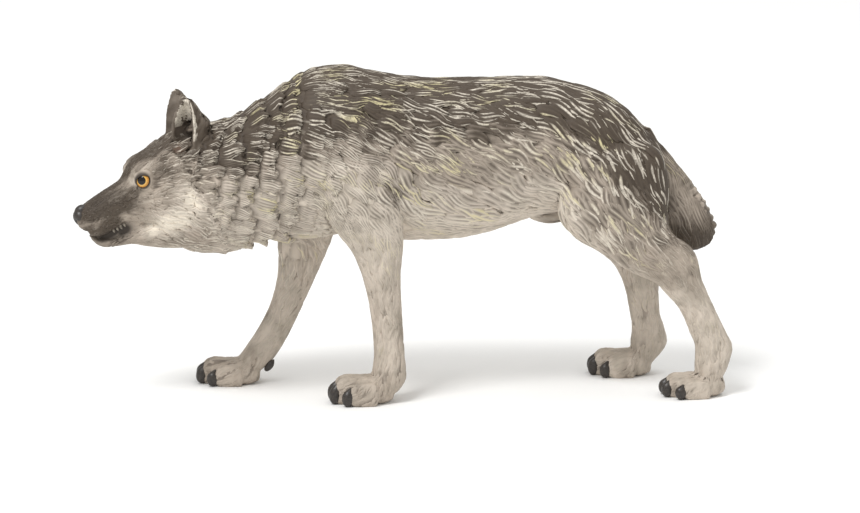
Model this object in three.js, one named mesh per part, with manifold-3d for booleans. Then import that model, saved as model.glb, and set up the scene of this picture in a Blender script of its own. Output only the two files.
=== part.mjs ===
// A hand-painted toy figure of a grey wolf on the prowl, moulded in solid PVC at about 1:12.
// Millimetres, +Z up. The wolf faces -X and its left side is -Y. The origin is on the ground,
// under the middle of the figure. The moulding is modelled whole and parted into its named
// sub-parts with thin cuts, so that each one is a closed solid of its own.
import * as THREE from 'three';
import { mergeVertices } from 'three/addons/utils/BufferGeometryUtils.js';
import Module from 'manifold-3d';

const wasm = await Module();
wasm.setup();

// ---------------------------------------------------------------- driving dimensions
const CUT = 0.3; // gap left by a thin cut between two sub-parts
const STANCE = 9; // from the middle plane to the middle of each paw
const PAW = { front: 6.9, heel: 6.1, halfWidth: 4.7, cutZ: 6.6 }; // from the paw's own middle
const TOE = { halfWidth: 1.17, spread: 1.2, setBack: 2.7, clawReach: 0.25 };
const HEAD = { pivotX: -42, eyeX: -51, eyeZ: 43.5, tilt: 25, yaw: 11 }; // degrees
const EYE = { forward: 0.3, height: 2.3, side: 5.3, radius: 1.45 };
const EAR = { x: -44.3, z: 52.6, side: 5.0, height: 8.7, cup: 0.6, facing: 34, splay: 6 };
const RUFF = { rows: 7, rise: 0.35, dip: 0.45, room: 0.16, zigzag: 0.8 }; // shaggy rows of the neck
const FAR = 200; // larger than the figure, for the half spaces that the cuts use

// ---------------------------------------------------------------- small helpers
const radians = THREE.MathUtils.degToRad;
const SIDES = { left: -1, right: 1 };

// A closed three.js geometry as a solid that can be joined and cut.
function solid(geometry) {
  const bare = geometry.clone();
  bare.deleteAttribute('normal');
  bare.deleteAttribute('uv');
  const merged = mergeVertices(bare, 1e-4);
  const vertProperties = new Float32Array(merged.attributes.position.array);
  const triVerts = new Uint32Array(merged.index.array);
  return new wasm.Manifold(new wasm.Mesh({ numProp: 3, vertProperties, triVerts }));
}

// The solid's largest body, without the slivers that a thin cut may leave.
function mainBody(shape) {
  return shape.decompose().reduce((a, b) => (b.volume() > a.volume() ? b : a));
}

const join = (...shapes) => shapes.reduce((a, b) => a.add(b));

// Slope of a curve through values, limited so that it never overshoots between them.
function slope(values, i) {
  if (i === 0 || i === values.length - 1) return 0;
  const before = values[i] - values[i - 1];
  const after = values[i + 1] - values[i];
  return before * after <= 0 ? 0 : (2 * before * after) / (before + after);
}

// Ribs read at a fractional place along their list, each number on its own smooth curve.
function ribAt(ribs, place) {
  const i = Math.min(Math.floor(place), ribs.length - 2);
  const t = place - i;
  return ribs[0].map((_, k) => {
    const column = ribs.map((rib) => rib[k]);
    const rise = column[i + 1] - column[i];
    const start = slope(column, i);
    const end = slope(column, i + 1);
    return column[i] + start * t + (3 * rise - 2 * start - end) * t * t
      + (start + end - 2 * rise) * t * t * t;
  });
}

// One ring of a loft: the middle and half length of a rib's line, and its half width.
function ring([lowX, lowZ, highX, highZ, y, width], proud, jag = 0) {
  const half = new THREE.Vector3((highX - lowX) / 2, 0, (highZ - lowZ) / 2);
  half.setLength(half.length() + proud);
  const centre = new THREE.Vector3((highX + lowX) / 2, y, (highZ + lowZ) / 2);
  return { centre, half, width: width + proud, jag };
}

// The rings of a loft. The first rows of ribs take two rings each, the second just behind the
// first and well inside it, so that the loft steps in there as the rows of a shaggy ruff do.
function ringsOf(ribs, grow, rows) {
  return ribs.flatMap((rib, i) => {
    if (i === 0 || i >= rows) return [ring(rib, grow)];
    return [ring(rib, grow + RUFF.rise, RUFF.zigzag),
      ring(ribAt(ribs, i + RUFF.room), grow - RUFF.dip, RUFF.zigzag)];
  });
}

// Smaller rings and a pole that round off the end of a loft, at the given degrees of a quarter turn.
function capOf(end, next, depth, ends) {
  const out = end.centre.clone().sub(next.centre).normalize();
  const rings = ends.map((degrees) => {
    const shrink = Math.cos(radians(degrees));
    const shift = out.clone().multiplyScalar(depth * Math.sin(radians(degrees)));
    return { centre: end.centre.clone().add(shift), half: end.half.clone().multiplyScalar(shrink),
      width: end.width * shrink, jag: 0 };
  });
  return { rings, pole: end.centre.clone().addScaledVector(out, depth) };
}

// A closed body through ribs. Each rib is [lowX, lowZ, highX, highZ, y, halfWidth]: in side view
// a line from a low or front edge to a high or rear edge, centred on y and halfWidth wide each
// way. Around the line runs a superellipse of that size. Both ends close in a blunt cap.
function loft(ribs, options = {}) {
  const { around = 16, grow = 0, power = 2.15, egg = 0, cap = 0.6, ends = [30, 60], rows = 0 } = options;
  const body = ringsOf(ribs, grow, rows);
  const depth = (end) => cap * Math.min(end.width, end.half.length()) + grow;
  const first = capOf(body[0], body[1], depth(body[0]), ends);
  const last = capOf(body.at(-1), body.at(-2), depth(body.at(-1)), ends);
  const all = [...first.rings.reverse(), ...body, ...last.rings];
  const signed = (v) => Math.sign(v) * Math.abs(v) ** (2 / power);
  const points = all.flatMap(({ centre, half, width, jag }) => Array.from({ length: around }, (_, k) => {
    const a = (2 * Math.PI * k) / around;
    const across = width * signed(Math.cos(a)) * (1 + egg * Math.sin(a));
    return centre.clone().addScaledVector(half, signed(Math.sin(a)))
      .add(new THREE.Vector3(jag * ((k % 2) - 0.5), across, 0));
  }));
  return tube(points, around, first.pole, last.pole);
}

// A solid from rings of points, one after another, each end closed by a fan round a pole.
function tube(rings, around, ...poles) {
  const faces = [];
  const top = rings.length - around;
  for (let ring = 0; ring < top; ring += around) {
    for (let k = 0; k < around; k++) {
      const [a, b] = [ring + k, ring + ((k + 1) % around)];
      faces.push(a, b, b + around, a, b + around, a + around);
    }
  }
  for (let k = 0; k < around; k++) {
    const next = (k + 1) % around;
    faces.push(rings.length, next, k, rings.length + 1, top + k, top + next);
  }
  return solidOf([...rings, ...poles], faces);
}

// A solid from points and triangles, turned the right way out.
function solidOf(points, faces) {
  const geometry = new THREE.BufferGeometry().setFromPoints(points).setIndex(faces);
  const made = solid(geometry);
  if (made.volume() > 0) return made;
  for (let i = 0; i < faces.length; i += 3) [faces[i], faces[i + 1]] = [faces[i + 1], faces[i]];
  return solid(geometry.setIndex(faces));
}

// An egg of the given half sizes, leaned about Y by degrees.
function egg([x, y, z], [rx, ry, rz], { lean = 0, fine = 10 } = {}) {
  const geometry = new THREE.SphereGeometry(1, fine, Math.round(fine * 0.7));
  return solid(geometry.scale(rx, ry, rz).rotateY(radians(lean)).translate(x, y, z));
}

// The half space on the far side of a slanted plane. The plane holds (x, z) and is square to the
// side view; lean is its angle from the upright, and positive leans the top towards +X.
function behind(x, z, lean) {
  const block = new THREE.BoxGeometry(FAR, FAR, FAR).translate(FAR / 2, 0, 0);
  return solid(block.rotateY(radians(lean)).translate(x, 0, z));
}

// Everything above a height.
function above(z) {
  return solid(new THREE.BoxGeometry(FAR, FAR, FAR).translate(0, 0, z + FAR / 2));
}

// ---------------------------------------------------------------- trunk and neck
// Low edge, high edge, y and half width, from the throat back to the rump.
const TORSO = [
  [-46, 31.8, -42, 52.4, 0, 7.5],
  [-43, 30.0, -38.8, 55.2, 0, 10.2],
  [-39.5, 29.2, -35, 55.4, 0, 11.3],
  [-35.5, 29.2, -31, 57.1, 0, 11.7],
  [-31, 30.9, -27, 59.7, 0, 12.0],
  [-26.5, 31.5, -23.2, 62.2, 0, 12.3],
  [-22, 31.7, -19.6, 64.7, 0, 12.6],
  [-17, 32.0, -15.6, 66.2, 0, 12.9],
  [-11, 32.6, -10.8, 66.4, 0, 13.0],
  [-5, 31.6, -5.5, 65.2, 0, 13.0],
  [2, 31.0, 1, 64.0, 0, 12.8],
  [9, 31.0, 8, 63.6, 0, 12.7],
  [16, 31.9, 15.5, 63.5, 0, 12.2],
  [22, 33.8, 22, 63.6, 0, 11.4],
  [28, 35.6, 28, 63.5, 0, 10.7],
  [33, 36.4, 33.5, 62.4, 0, 10.6],
  [38, 37.2, 39, 60.7, 0, 10.4],
  [42, 38.2, 44, 57.8, 0, 9.8],
  [45.5, 39.7, 48, 53.9, 0, 8.4],
  [48.5, 41.7, 50.8, 50.2, 0, 6.2],
];
const torso = (grow = 0) => loft(TORSO, { around: 20, egg: 0.05, ends: [45], rows: RUFF.rows, grow });
const SHEATH = [[26.5, 34.4, 27.5, 38, 0, 1.1], [30, 33.6, 31, 38, 0, 1.9], [36, 34.6, 36, 38, 0, 2.2]];

// ---------------------------------------------------------------- legs
// Front edge, rear edge, y outwards from the middle plane and half width, from the top down.
// A paw has its middle, the degrees it turns outwards, its toes' height and a forefoot's dewclaw.
const LEGS = {
  fore_left: {
    side: SIDES.left,
    paw: { x: -7.7, turn: 3, height: 5.6, dewclaw: [0.1, 4.0] },
    ribs: [
      [-17, 51.2, -6, 53.2, 6.5, 4.0],
      [-17.6, 46.2, -3.2, 47.7, 8.6, 5.4],
      [-15.4, 38.7, -0.6, 39.7, 9.0, 5.3],
      [-13.2, 34.9, -0.1, 34.9, STANCE, 4.7],
      [-10, 30.1, -0.3, 30.1, STANCE, 3.9],
      [-8.2, 25, -0.5, 25, STANCE, 3.4],
      [-7.1, 20.1, -0.3, 20.1, STANCE, 3.0],
      [-6.4, 14.7, 0, 14.7, STANCE, 2.8],
      [-6.1, 9.7, 0.3, 9.7, STANCE, 3.0],
      [-6.6, 5.2, 0.7, 5.2, STANCE, 3.3],
      [-6, 2.6, -0.6, 2.6, STANCE, 3.2],
    ],
  },
  fore_right: {
    side: SIDES.right,
    paw: { x: -33.3, turn: 4, height: 5.1, dewclaw: [-25.9, 3.8] },
    ribs: [
      [-19, 51.2, -8, 53.2, 6.5, 4.0],
      [-20.6, 46.2, -6.4, 48.2, 8.6, 5.4],
      [-22, 38.2, -9, 40.7, 9.0, 5.2],
      [-23.4, 32.2, -11.4, 34.6, STANCE, 4.5],
      [-23.6, 26.6, -13.4, 28.6, STANCE, 3.8],
      [-24.3, 21.1, -15.7, 23.0, STANCE, 3.3],
      [-25.7, 16, -18.0, 17.8, STANCE, 3.0],
      [-28.2, 11, -20.2, 13.0, STANCE, 3.0],
      [-31, 6.8, -22.4, 8.6, STANCE, 3.2],
      [-33, 3.8, -25.2, 4.4, STANCE, 3.4],
      [-33, 2.2, -27.6, 2.4, STANCE, 3.0],
    ],
  },
  hind_left: {
    side: SIDES.left,
    paw: { x: 58.7, turn: 5, height: 4.5 },
    ribs: [
      [35, 51.5, 46, 52.2, 5.6, 3.2],
      [30.8, 46.2, 51.6, 48.8, 7.0, 5.1],
      [31, 37.9, 52.7, 42.8, 7.3, 5.2],
      [34, 32.8, 52.6, 37.8, 7.7, 4.9],
      [38, 30.4, 52.8, 34.4, 8.1, 4.4],
      [42.5, 27.2, 54.3, 32.2, 8.5, 3.8],
      [46.6, 24.7, 56.9, 30.7, 8.8, 3.4],
      [50, 23.2, 58.7, 28.2, STANCE, 3.1],
      [51.9, 21.2, 59.6, 24.2, STANCE, 2.8],
      [55, 17.6, 62, 18.6, STANCE, 2.6],
      [57, 13.2, 64.4, 13.4, STANCE, 2.8],
      [58.3, 9.5, 66.1, 9.5, STANCE, 3.1],
      [58.2, 5.7, 65.2, 5.7, STANCE, 3.3],
      [58.6, 2.6, 63.6, 2.6, STANCE, 3.0],
    ],
  },
  hind_right: {
    side: SIDES.right,
    paw: { x: 46.4, turn: 3, height: 5.2 },
    ribs: [
      [35, 51.5, 46, 52.2, 5.6, 3.2],
      [30.2, 46.2, 50.6, 48.4, 7.0, 5.1],
      [30, 38.3, 50.6, 42.3, 7.3, 5.2],
      [32.6, 33.6, 51.2, 37.3, 7.7, 4.9],
      [37, 30.2, 53, 33.4, 8.1, 4.4],
      [41, 26.4, 54.2, 29.6, 8.6, 3.7],
      [44.6, 22.1, 54.2, 25.1, STANCE, 3.2],
      [46.4, 17.8, 53.6, 19.1, STANCE, 2.8],
      [47.3, 13.5, 53.8, 13.8, STANCE, 2.6],
      [47.9, 9.5, 54.9, 9.5, STANCE, 2.8],
      [47.6, 6.2, 55.5, 6.6, STANCE, 3.2],
      [47.6, 2.8, 52.8, 2.8, STANCE, 3.0],
    ],
  },
};

// A leg without its paw's toes, standing on its own side of the middle plane.
function legShape({ side, ribs }, grow = 0) {
  const placed = ribs.map(([fx, fz, rx, rz, y, w]) => [fx, fz, rx, rz, side * y, w]);
  return loft(placed, { around: 12, grow, cap: 0.4 });
}

// A blunt toe from its front back into the foot, with an upright claw let into its front.
function toeShape(front, y, height) {
  const { halfWidth, clawReach } = TOE;
  const toe = loft([
    [front + 0.9, 0.3, front + 0.9, height * 0.8, y, halfWidth * 0.85],
    [front + 2.8, -0.4, front + 2.8, height, y, halfWidth],
  ], { around: 6, power: 2.6, cap: 0.7, ends: [50] });
  const claw = egg([front + 1.1 - clawReach, y, height * 0.4], [1.05, halfWidth * 0.68, height * 0.36],
    { lean: 8, fine: 4 });
  return toe.add(claw);
}

// A paw: the sole's pad and four toes that fan out, the outer ones set back, flat on the ground.
function pawShape({ side, paw }) {
  const { front, heel, halfWidth } = PAW;
  const y = side * STANCE;
  const pad = loft([
    [heel - 0.9, 0.4, heel - 0.9, 3.6, 0, halfWidth * 0.6],
    [heel - 3.2, -0.4, heel - 3.2, paw.height, 0, halfWidth * 0.86],
    [3 - front, -0.4, 3 - front, paw.height * 0.98, 0, halfWidth * 0.92],
  ], { around: 8, power: 2.4, cap: 0.2, ends: [] });
  const toes = [-3, -1, 1, 3].map((place) => {
    const outer = Math.abs(place) > 2;
    const back = outer ? TOE.setBack : 0;
    return toeShape(back - front, place * TOE.spread, paw.height * (outer ? 0.86 : 1));
  });
  const flat = join(pad, ...toes).rotate([0, 0, -side * paw.turn]).translate([paw.x, y, 0]);
  if (!paw.dewclaw) return flat.intersect(above(0));
  const [x, z] = paw.dewclaw;
  const dewclaw = egg([x, y - side * 2.2, z], [0.75, 0.7, 1.45], { lean: 38, fine: 6 });
  return flat.add(dewclaw).intersect(above(0));
}

// ---------------------------------------------------------------- head
// Side-view ribs in the head's own axes: forward along the muzzle, height square to it, measured
// from the eyes' level in the middle plane. [lowF, lowH, highF, highH, y, halfWidth]
const SKULL = [
  [14.4, -2.9, 14.3, 1.3, 0, 2.1],
  [13.3, -4.1, 13.1, 2.0, 0, 2.9],
  [11, -4.7, 10.5, 2.5, 0, 3.4],
  [8, -4.8, 7, 2.85, 0, 3.8],
  [5.4, -5.6, 3.7, 3.2, 0, 4.5],
  [3.4, -7.2, 2.1, 4.3, 0, 5.6],
  [1.2, -8.8, 0.6, 5.3, 0, 6.8],
  [-1.6, -10, -2, 6.0, 0, 7.9],
  [-4.6, -11, -5, 6.1, 0, 8.7],
  [-8, -11.5, -8, 6.7, 0, 9.1],
  [-11, -11, -11, 7.0, 0, 9.2],
];
const JAW = [
  [14.1, -5.1, 14.3, -3.75, 0, 1.4],
  [13.5, -6.6, 13.7, -4.4, 0, 2.1],
  [12.2, -7.6, 12.4, -5.3, 0, 2.6],
  [10.2, -8.3, 10.3, -6.1, 0, 3.0],
  [7.6, -9.2, 7.5, -6.6, 0, 3.5],
  [5.2, -11.0, 4.8, -6.2, 0, 4.4],
  [2, -12.8, 2, -6, 0, 6.0],
  [-1.5, -14.4, -1.5, -6, 0, 7.6],
  [-5, -15.2, -5, -6, 0, 8.6],
];
const MOUTH = [
  [12.6, -6.2, 12.8, -3.0, 0, 1.2],
  [10.0, -7.4, 10.0, -3.0, 0, 1.7],
  [7.4, -8.4, 7.4, -3.0, 0, 2.1],
  [5.0, -9.0, 5.0, -3.0, 0, 2.3],
]; // the floor of the mouth, which fills the space behind the teeth
const JAW_HINGE = 4.8; // forward of the eyes, where the jaw parts from the throat
const NOSE_BACK = 13; // forward of the eyes, the plane that the nose leather sits against
const TEETH = { first: 7.0, step: 1.25, count: 3, height: -4.9, side: 2.9 }; // back teeth of each side

// Head axes to the figure's side view.
const [cosTilt, sinTilt] = [Math.cos(radians(HEAD.tilt)), Math.sin(radians(HEAD.tilt))];
const headX = (f, h) => HEAD.eyeX - cosTilt * f - sinTilt * h;
const headZ = (f, h) => HEAD.eyeZ - sinTilt * f + cosTilt * h;
const headRibs = (ribs) => ribs.map(([lf, lh, hf, hh, y, w]) => (
  [headX(lf, lh), headZ(lf, lh), headX(hf, hh), headZ(hf, hh), y, w]));

// Turns a shape made straight ahead to where the wolf looks.
const look = (shape) => (
  shape.translate([-HEAD.pivotX, 0, 0]).rotate([0, 0, HEAD.yaw]).translate([HEAD.pivotX, 0, 0]));

const skull = (grow = 0) => look(loft(headRibs(SKULL), { power: 2.3, egg: -0.04, grow }));
const jaw = (grow = 0) => look(loft(headRibs(JAW), { around: 12, power: 2.8, grow }));
const mouth = () => look(loft(headRibs(MOUTH), { around: 6, power: 3, ends: [] }));

function headEgg([f, h, y], sizes, options = {}) {
  return look(egg([headX(f, h), y, headZ(f, h)], sizes, { lean: -HEAD.tilt, ...options }));
}

const eyeShape = (side, grow = 0) => headEgg([EYE.forward, EYE.height, side * EYE.side],
  [EYE.radius + grow, EYE.radius + grow, EYE.radius + grow], { fine: 8 });
const browShape = (side) => headEgg([-1.1, 3.7, side * 3.8], [2.8, 1.9, 1.5], { fine: 8 });
const lipShape = (side, grow = 0) => headEgg([10.2, -2.9, side * 2.0],
  [4.2 + grow, 1.5 + grow, 1.75 + grow], { fine: 7 });
const cheekShape = (side) => headEgg([-4.5, -4.5, side * 5.6], [6.6, 4.6, 6.2], { fine: 8 });

// The nose leather in front of a plane square to the muzzle.
function noseShape(from, grow = 0) {
  const pad = headEgg([14.6, 0.1, 0], [1.4 + grow, 2.1 + grow, 1.95 + grow], { fine: 8 });
  const bridge = headEgg([13.7, 0.9, 0], [1.6 + grow, 1.7 + grow, 1.3 + grow], { fine: 7 });
  return pad.add(bridge).subtract(look(behind(headX(from, 0), headZ(from, 0), -HEAD.tilt)));
}

// The back teeth that show in the half open mouth, rooted in the upper jaw.
function teethShape(side) {
  return join(...Array.from({ length: TEETH.count }, (_, i) => headEgg(
    [TEETH.first + i * TEETH.step, TEETH.height, side * TEETH.side], [0.42, 0.35, 0.8], { fine: 4 })));
}

// Sections up an ear: height as a share of the whole, half the width between its two rims, how
// deep its back lies behind them, and how far the section has leaned back.
const EAR_SECTIONS = [
  [-0.3, 2.2, 4.4, 0.9],
  [0, 3.3, 7.0, 0],
  [0.3, 3.3, 6.1, 0.1],
  [0.5, 3.0, 5.1, 0.2],
  [0.67, 2.45, 3.7, 0.4],
  [0.84, 1.7, 2.3, 0.6],
  [0.95, 1.05, 1.3, 0.7],
];

// An ear. The back of each section is half an ellipse. Its front runs straight from rim to rim at
// the root, and is pushed in between the rims further up, which makes the cup.
function earShape(side) {
  const { smoothstep } = THREE.MathUtils;
  const around = 12;
  const at = (up, into, across) => new THREE.Vector3(into, across, EAR.height * up);
  const rings = EAR_SECTIONS.flatMap(([up, half, depth, lean]) => Array.from({ length: around }, (_, k) => {
    const a = (2 * Math.PI * k) / around;
    const cup = EAR.cup * depth * smoothstep(up, 0, 0.3) * (1 - smoothstep(up, 0.8, 1));
    const front = cup * (1 - smoothstep(Math.abs(Math.cos(a)), 0.5, 0.88));
    return at(up, lean + (Math.sin(a) > 0 ? depth * Math.sin(a) : front), half * Math.cos(a));
  }));
  const ear = tube(rings, around, at(-0.35, 2, 0), at(1, 1.1, 0));
  return look(ear.rotate([0, 0, -side * EAR.facing]).rotate([-side * EAR.splay, 0, 0])
    .translate([EAR.x, side * EAR.side, EAR.z]));
}

// ---------------------------------------------------------------- tail
// Front edge, rear edge, y and half width, from the root down to the tip.
const TAIL = [
  [45, 49.8, 50.2, 52.6, 0, 2.4],
  [46.5, 46.8, 53, 48.4, 0.2, 3.0],
  [48.5, 42.2, 56.6, 44.2, 0.4, 3.4],
  [50, 37.2, 60.1, 39.6, 0.5, 3.6],
  [51.2, 33.1, 62.5, 35.5, 0.6, 3.5],
  [52.8, 29.8, 63.9, 32.1, 0.6, 3.0],
  [55.2, 27.7, 62.8, 29.4, 0.6, 2.1],
];

// ---------------------------------------------------------------- the figure
const headCut = (shift) => behind(-40.8 + shift, 42, 20); // head in front, neck behind
const chestCut = (shift) => behind(-23.2 + shift, 48, 8); // neck in front, trunk behind
const jawCut = (shift) => look(behind(headX(JAW_HINGE, -8) + shift, headZ(JAW_HINGE, -8), -HEAD.tilt));

function makeSolids() {
  const made = {};
  const sides = Object.values(SIDES);
  const legRoom = join(...Object.values(LEGS).map((leg) => legShape(leg, CUT)));
  const body = torso().add(loft(SHEATH, { around: 8 })).subtract(legRoom);
  made.trunk = mainBody(body.intersect(chestCut(0)));
  made.neck = mainBody(body.subtract(chestCut(-CUT)).intersect(headCut(0)));

  const throat = jaw().intersect(jawCut(0));
  const face = join(skull(), throat, torso(), ...sides.flatMap((side) => [browShape(side),
    cheekShape(side), lipShape(side), teethShape(side)]));
  const sockets = join(...sides.map((side) => eyeShape(side, CUT / 2)));
  made.head = mainBody(face.subtract(headCut(-CUT)).subtract(sockets)
    .subtract(noseShape(NOSE_BACK - CUT, CUT)));
  made.nose = mainBody(noseShape(NOSE_BACK));
  const upperJaw = join(skull(CUT), ...sides.map((side) => lipShape(side, CUT)));
  made.jaw = mainBody(jaw().add(mouth()).subtract(jawCut(-CUT)).subtract(upperJaw));

  for (const [hand, side] of Object.entries(SIDES)) {
    made[`eye_${hand}`] = eyeShape(side);
    made[`ear_${hand}`] = mainBody(earShape(side).subtract(torso(CUT)).subtract(skull(CUT)));
  }
  made.tail = mainBody(loft(TAIL, { around: 12, cap: 0.5 }).subtract(torso(CUT)).subtract(legRoom));

  for (const [name, leg] of Object.entries(LEGS)) {
    const shank = legShape(leg);
    made[`leg_${name}`] = mainBody(shank.intersect(above(PAW.cutZ)));
    made[`paw_${name}`] = mainBody(shank.intersect(above(0)).add(pawShape(leg))
      .subtract(above(PAW.cutZ - CUT)));
  }
  return made;
}

// ---------------------------------------------------------------- meshes
const PAINT = {
  coat: { color: 0x8f857a, roughness: 0.62 },
  pale: { color: 0xc9beae, roughness: 0.62 },
  muzzle: { color: 0x6f665c, roughness: 0.6 },
  ear: { color: 0x6a5d50, roughness: 0.62 },
  nose: { color: 0x1c1a19, roughness: 0.32 },
  eye: { color: 0xd9962e, roughness: 0.12 },
};
const PAINT_OF = {
  head: 'muzzle', jaw: 'muzzle', nose: 'nose', eye_left: 'eye', eye_right: 'eye',
  ear_left: 'ear', ear_right: 'ear', neck: 'coat', trunk: 'coat', tail: 'coat',
};

const wolf = new THREE.Group();
for (const [name, shape] of Object.entries(makeSolids())) {
  const { vertProperties, triVerts } = shape.getMesh();
  const geometry = new THREE.BufferGeometry();
  geometry.setAttribute('position', new THREE.BufferAttribute(vertProperties, 3));
  geometry.setIndex(new THREE.BufferAttribute(triVerts, 1));
  geometry.computeVertexNormals();
  const paint = PAINT[PAINT_OF[name] ?? 'pale'];
  const mesh = new THREE.Mesh(geometry, new THREE.MeshStandardMaterial({ ...paint, metalness: 0 }));
  mesh.name = name;
  wolf.add(mesh);
}

export default wolf;
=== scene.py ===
# %% [markdown]
# # A painted toy wolf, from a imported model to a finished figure
# The real object is a small figure of a prowling wolf, cast in one piece of soft plastic, about
# 13 cm long. Its coat is carved into the mould and then painted by hand: a dark back, pale legs,
# and a light paint dragged over the ridges with an almost dry brush. This lesson keeps the packed
# solids as a fixed frame and builds one seamless skin inside them, tufts of coat over the skin,
# and the glossy small parts: eyes, nose, claws and teeth.

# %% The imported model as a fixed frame
import math
import bpy
import numpy as np
from mathutils.bvhtree import BVHTree
from mathutils.kdtree import KDTree
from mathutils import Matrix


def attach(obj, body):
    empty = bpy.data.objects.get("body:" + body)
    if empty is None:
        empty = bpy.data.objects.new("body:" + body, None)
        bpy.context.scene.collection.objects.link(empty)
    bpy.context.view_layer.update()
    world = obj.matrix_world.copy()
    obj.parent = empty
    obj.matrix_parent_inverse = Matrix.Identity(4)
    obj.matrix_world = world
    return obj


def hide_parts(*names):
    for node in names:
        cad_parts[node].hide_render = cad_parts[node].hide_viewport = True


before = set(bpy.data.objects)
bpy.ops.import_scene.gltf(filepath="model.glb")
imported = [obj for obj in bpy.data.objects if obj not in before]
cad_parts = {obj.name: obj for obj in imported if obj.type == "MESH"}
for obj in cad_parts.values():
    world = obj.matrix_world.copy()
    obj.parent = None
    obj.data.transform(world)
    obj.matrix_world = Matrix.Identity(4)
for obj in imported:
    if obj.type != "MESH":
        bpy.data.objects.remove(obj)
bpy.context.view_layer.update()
MM = 0.001  # shapes are worked out in millimetres and put into meshes in metres

# %% [markdown]
# ## Camera
# The figure is seen as a product is: from far off through a long lens, so that it is
# almost free of perspective, a little above its back and a little ahead of square to its side.

# %% The camera
AZIMUTH, ELEVATION = -5.0, 13.0  # degrees round the figure, and above the floor
DISTANCE, VIEW_WIDTH = 0.9, 0.172  # metres
AIM = np.array([6.013, 0.0, 27.306])  # the middle of the view, in millimetres


def place_camera():
    """A camera on a sphere round AIM: its place is AIM plus DISTANCE along the unit vector of
    (azimuth, elevation), and the lens is sensor width times distance over the width it sees."""
    turn, rise = math.radians(AZIMUTH), math.radians(ELEVATION)
    back = np.array([math.sin(turn) * math.cos(rise), -math.cos(turn) * math.cos(rise), math.sin(rise)])
    data = bpy.data.cameras.new("camera")
    data.sensor_width = 36.0  # millimetres, as is the lens
    data.lens = data.sensor_width * DISTANCE / VIEW_WIDTH
    camera = bpy.data.objects.new("camera", data)
    camera.location = AIM * MM + back * DISTANCE
    camera.rotation_euler = (math.radians(90) - rise, 0.0, turn)
    bpy.context.scene.collection.objects.link(camera)
    bpy.context.scene.camera = camera
    return camera


camera = place_camera()
print("lens", round(camera.data.lens, 1), "mm")

# %% [markdown]
# ## Shader arithmetic
# A painter thinks "dark, but not where the brush caught the ridges". To write that down as a
# sum, one small class wraps a node's output and overloads +, - and *, so that an expression such
# as `1 - mask * 0.5` adds the Math nodes by itself. Colours go through Mix nodes, since a
# Math node would turn them grey. Everything else comes from one method, `node`.

# %% One class for shader arithmetic


class Paint:
    """A node output that can be used in a sum. Each operator adds one Math node."""

    def __init__(self, finish, socket):
        self.finish = finish
        self.socket = socket

    def __add__(self, other):
        return self.finish.math("ADD", self, other)

    def __sub__(self, other):
        return self.finish.math("SUBTRACT", self, other)

    def __mul__(self, other):
        return self.finish.math("MULTIPLY", self, other)

    def __rsub__(self, other):
        return self.finish.math("SUBTRACT", other, self)

    __radd__ = __add__
    __rmul__ = __mul__

    def between(self, low, high):
        """0 below low, 1 above high, and a smooth S between them."""
        return self.finish.node("MapRange", {"interpolation_type": "SMOOTHSTEP"},
                                {"Value": self, "From Min": low, "From Max": high})


class Finish:
    """A material being written, and the nodes in it."""

    def __init__(self, name, **sockets):
        self.material = bpy.data.materials.new(name)
        self.material.use_nodes = True
        self.tree = self.material.node_tree
        self.shader = self.tree.nodes["Principled BSDF"]
        for label, value in sockets.items():
            self.shader.inputs[label.replace("_", " ")].default_value = value

    def node(self, kind, settings=None, inputs=None, output=0):
        """Adds a node of a kind. Settings are its attributes. Inputs are numbers, colours or
        other nodes' outputs, by socket name or number."""
        made = self.tree.nodes.new("ShaderNode" + kind)
        for label, value in (settings or {}).items():
            setattr(made, label, value)
        for label, value in (inputs or {}).items():
            self.join(value, made.inputs[label])
        return Paint(self, made.outputs[output])

    def join(self, value, socket):
        """Links an output to a socket, or sets the socket to a constant."""
        if isinstance(value, Paint):
            self.tree.links.new(value.socket, socket)
        else:
            socket.default_value = value

    def math(self, operation, first, second):
        """One Math node on two values."""
        return self.node("Math", {"operation": operation}, {0: first, 1: second})

    def mix(self, amount, first, second):
        """Colour first where amount is 0, colour second where it is 1."""
        settings = {"data_type": "RGBA", "clamp_factor": True}
        return self.node("Mix", settings, {0: amount, 6: first, 7: second}, output=2)

    def mask(self, name):
        """A marking that was worked out for each point of the mesh."""
        return self.node("Attribute", {"attribute_name": name}, output=2)

    def noise(self, scale, detail=3.0):
        """Cloudy noise in the object's own space, scale being features for each metre."""
        where = self.node("TexCoord", output=3)
        inputs = {"Vector": where, "Scale": scale, "Detail": detail, "Roughness": 0.5}
        return self.node("TexNoise", inputs=inputs)

    def surface(self, colour, roughness=None, height=None, depth=0.0001, strength=1.0):
        """Colour, roughness and a height field in metres that dents the surface by depth."""
        self.join(colour, self.shader.inputs["Base Color"])
        if roughness is not None:
            self.join(roughness, self.shader.inputs["Roughness"])
        if height is not None:
            inputs = {"Height": height, "Distance": depth, "Strength": strength}
            self.join(self.node("Bump", inputs=inputs), self.shader.inputs["Normal"])
        return self.material


def tint(code):
    """A paint's colour code, as written on a swatch, to the linear colour that light uses."""
    parts = np.array([int(code[i:i + 2], 16) for i in (0, 2, 4)]) / 255
    linear = np.where(parts <= 0.04045, parts / 12.92, ((parts + 0.055) / 1.055) ** 2.4)
    return (*linear.tolist(), 1.0)


print("shader helpers ready")

# %% [markdown]
# ## Floor and light
# The figure stands on a plain pale sheet under large soft lights, so that every dent in the coat
# gets a gentle shadow. The floor is only a wide plane. A curved backdrop would hide the figure
# from a camera that walks round it, and a white world does the same work.

# %% Floor, world and lamps
WHITE = tint("fbfbfa")


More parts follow.
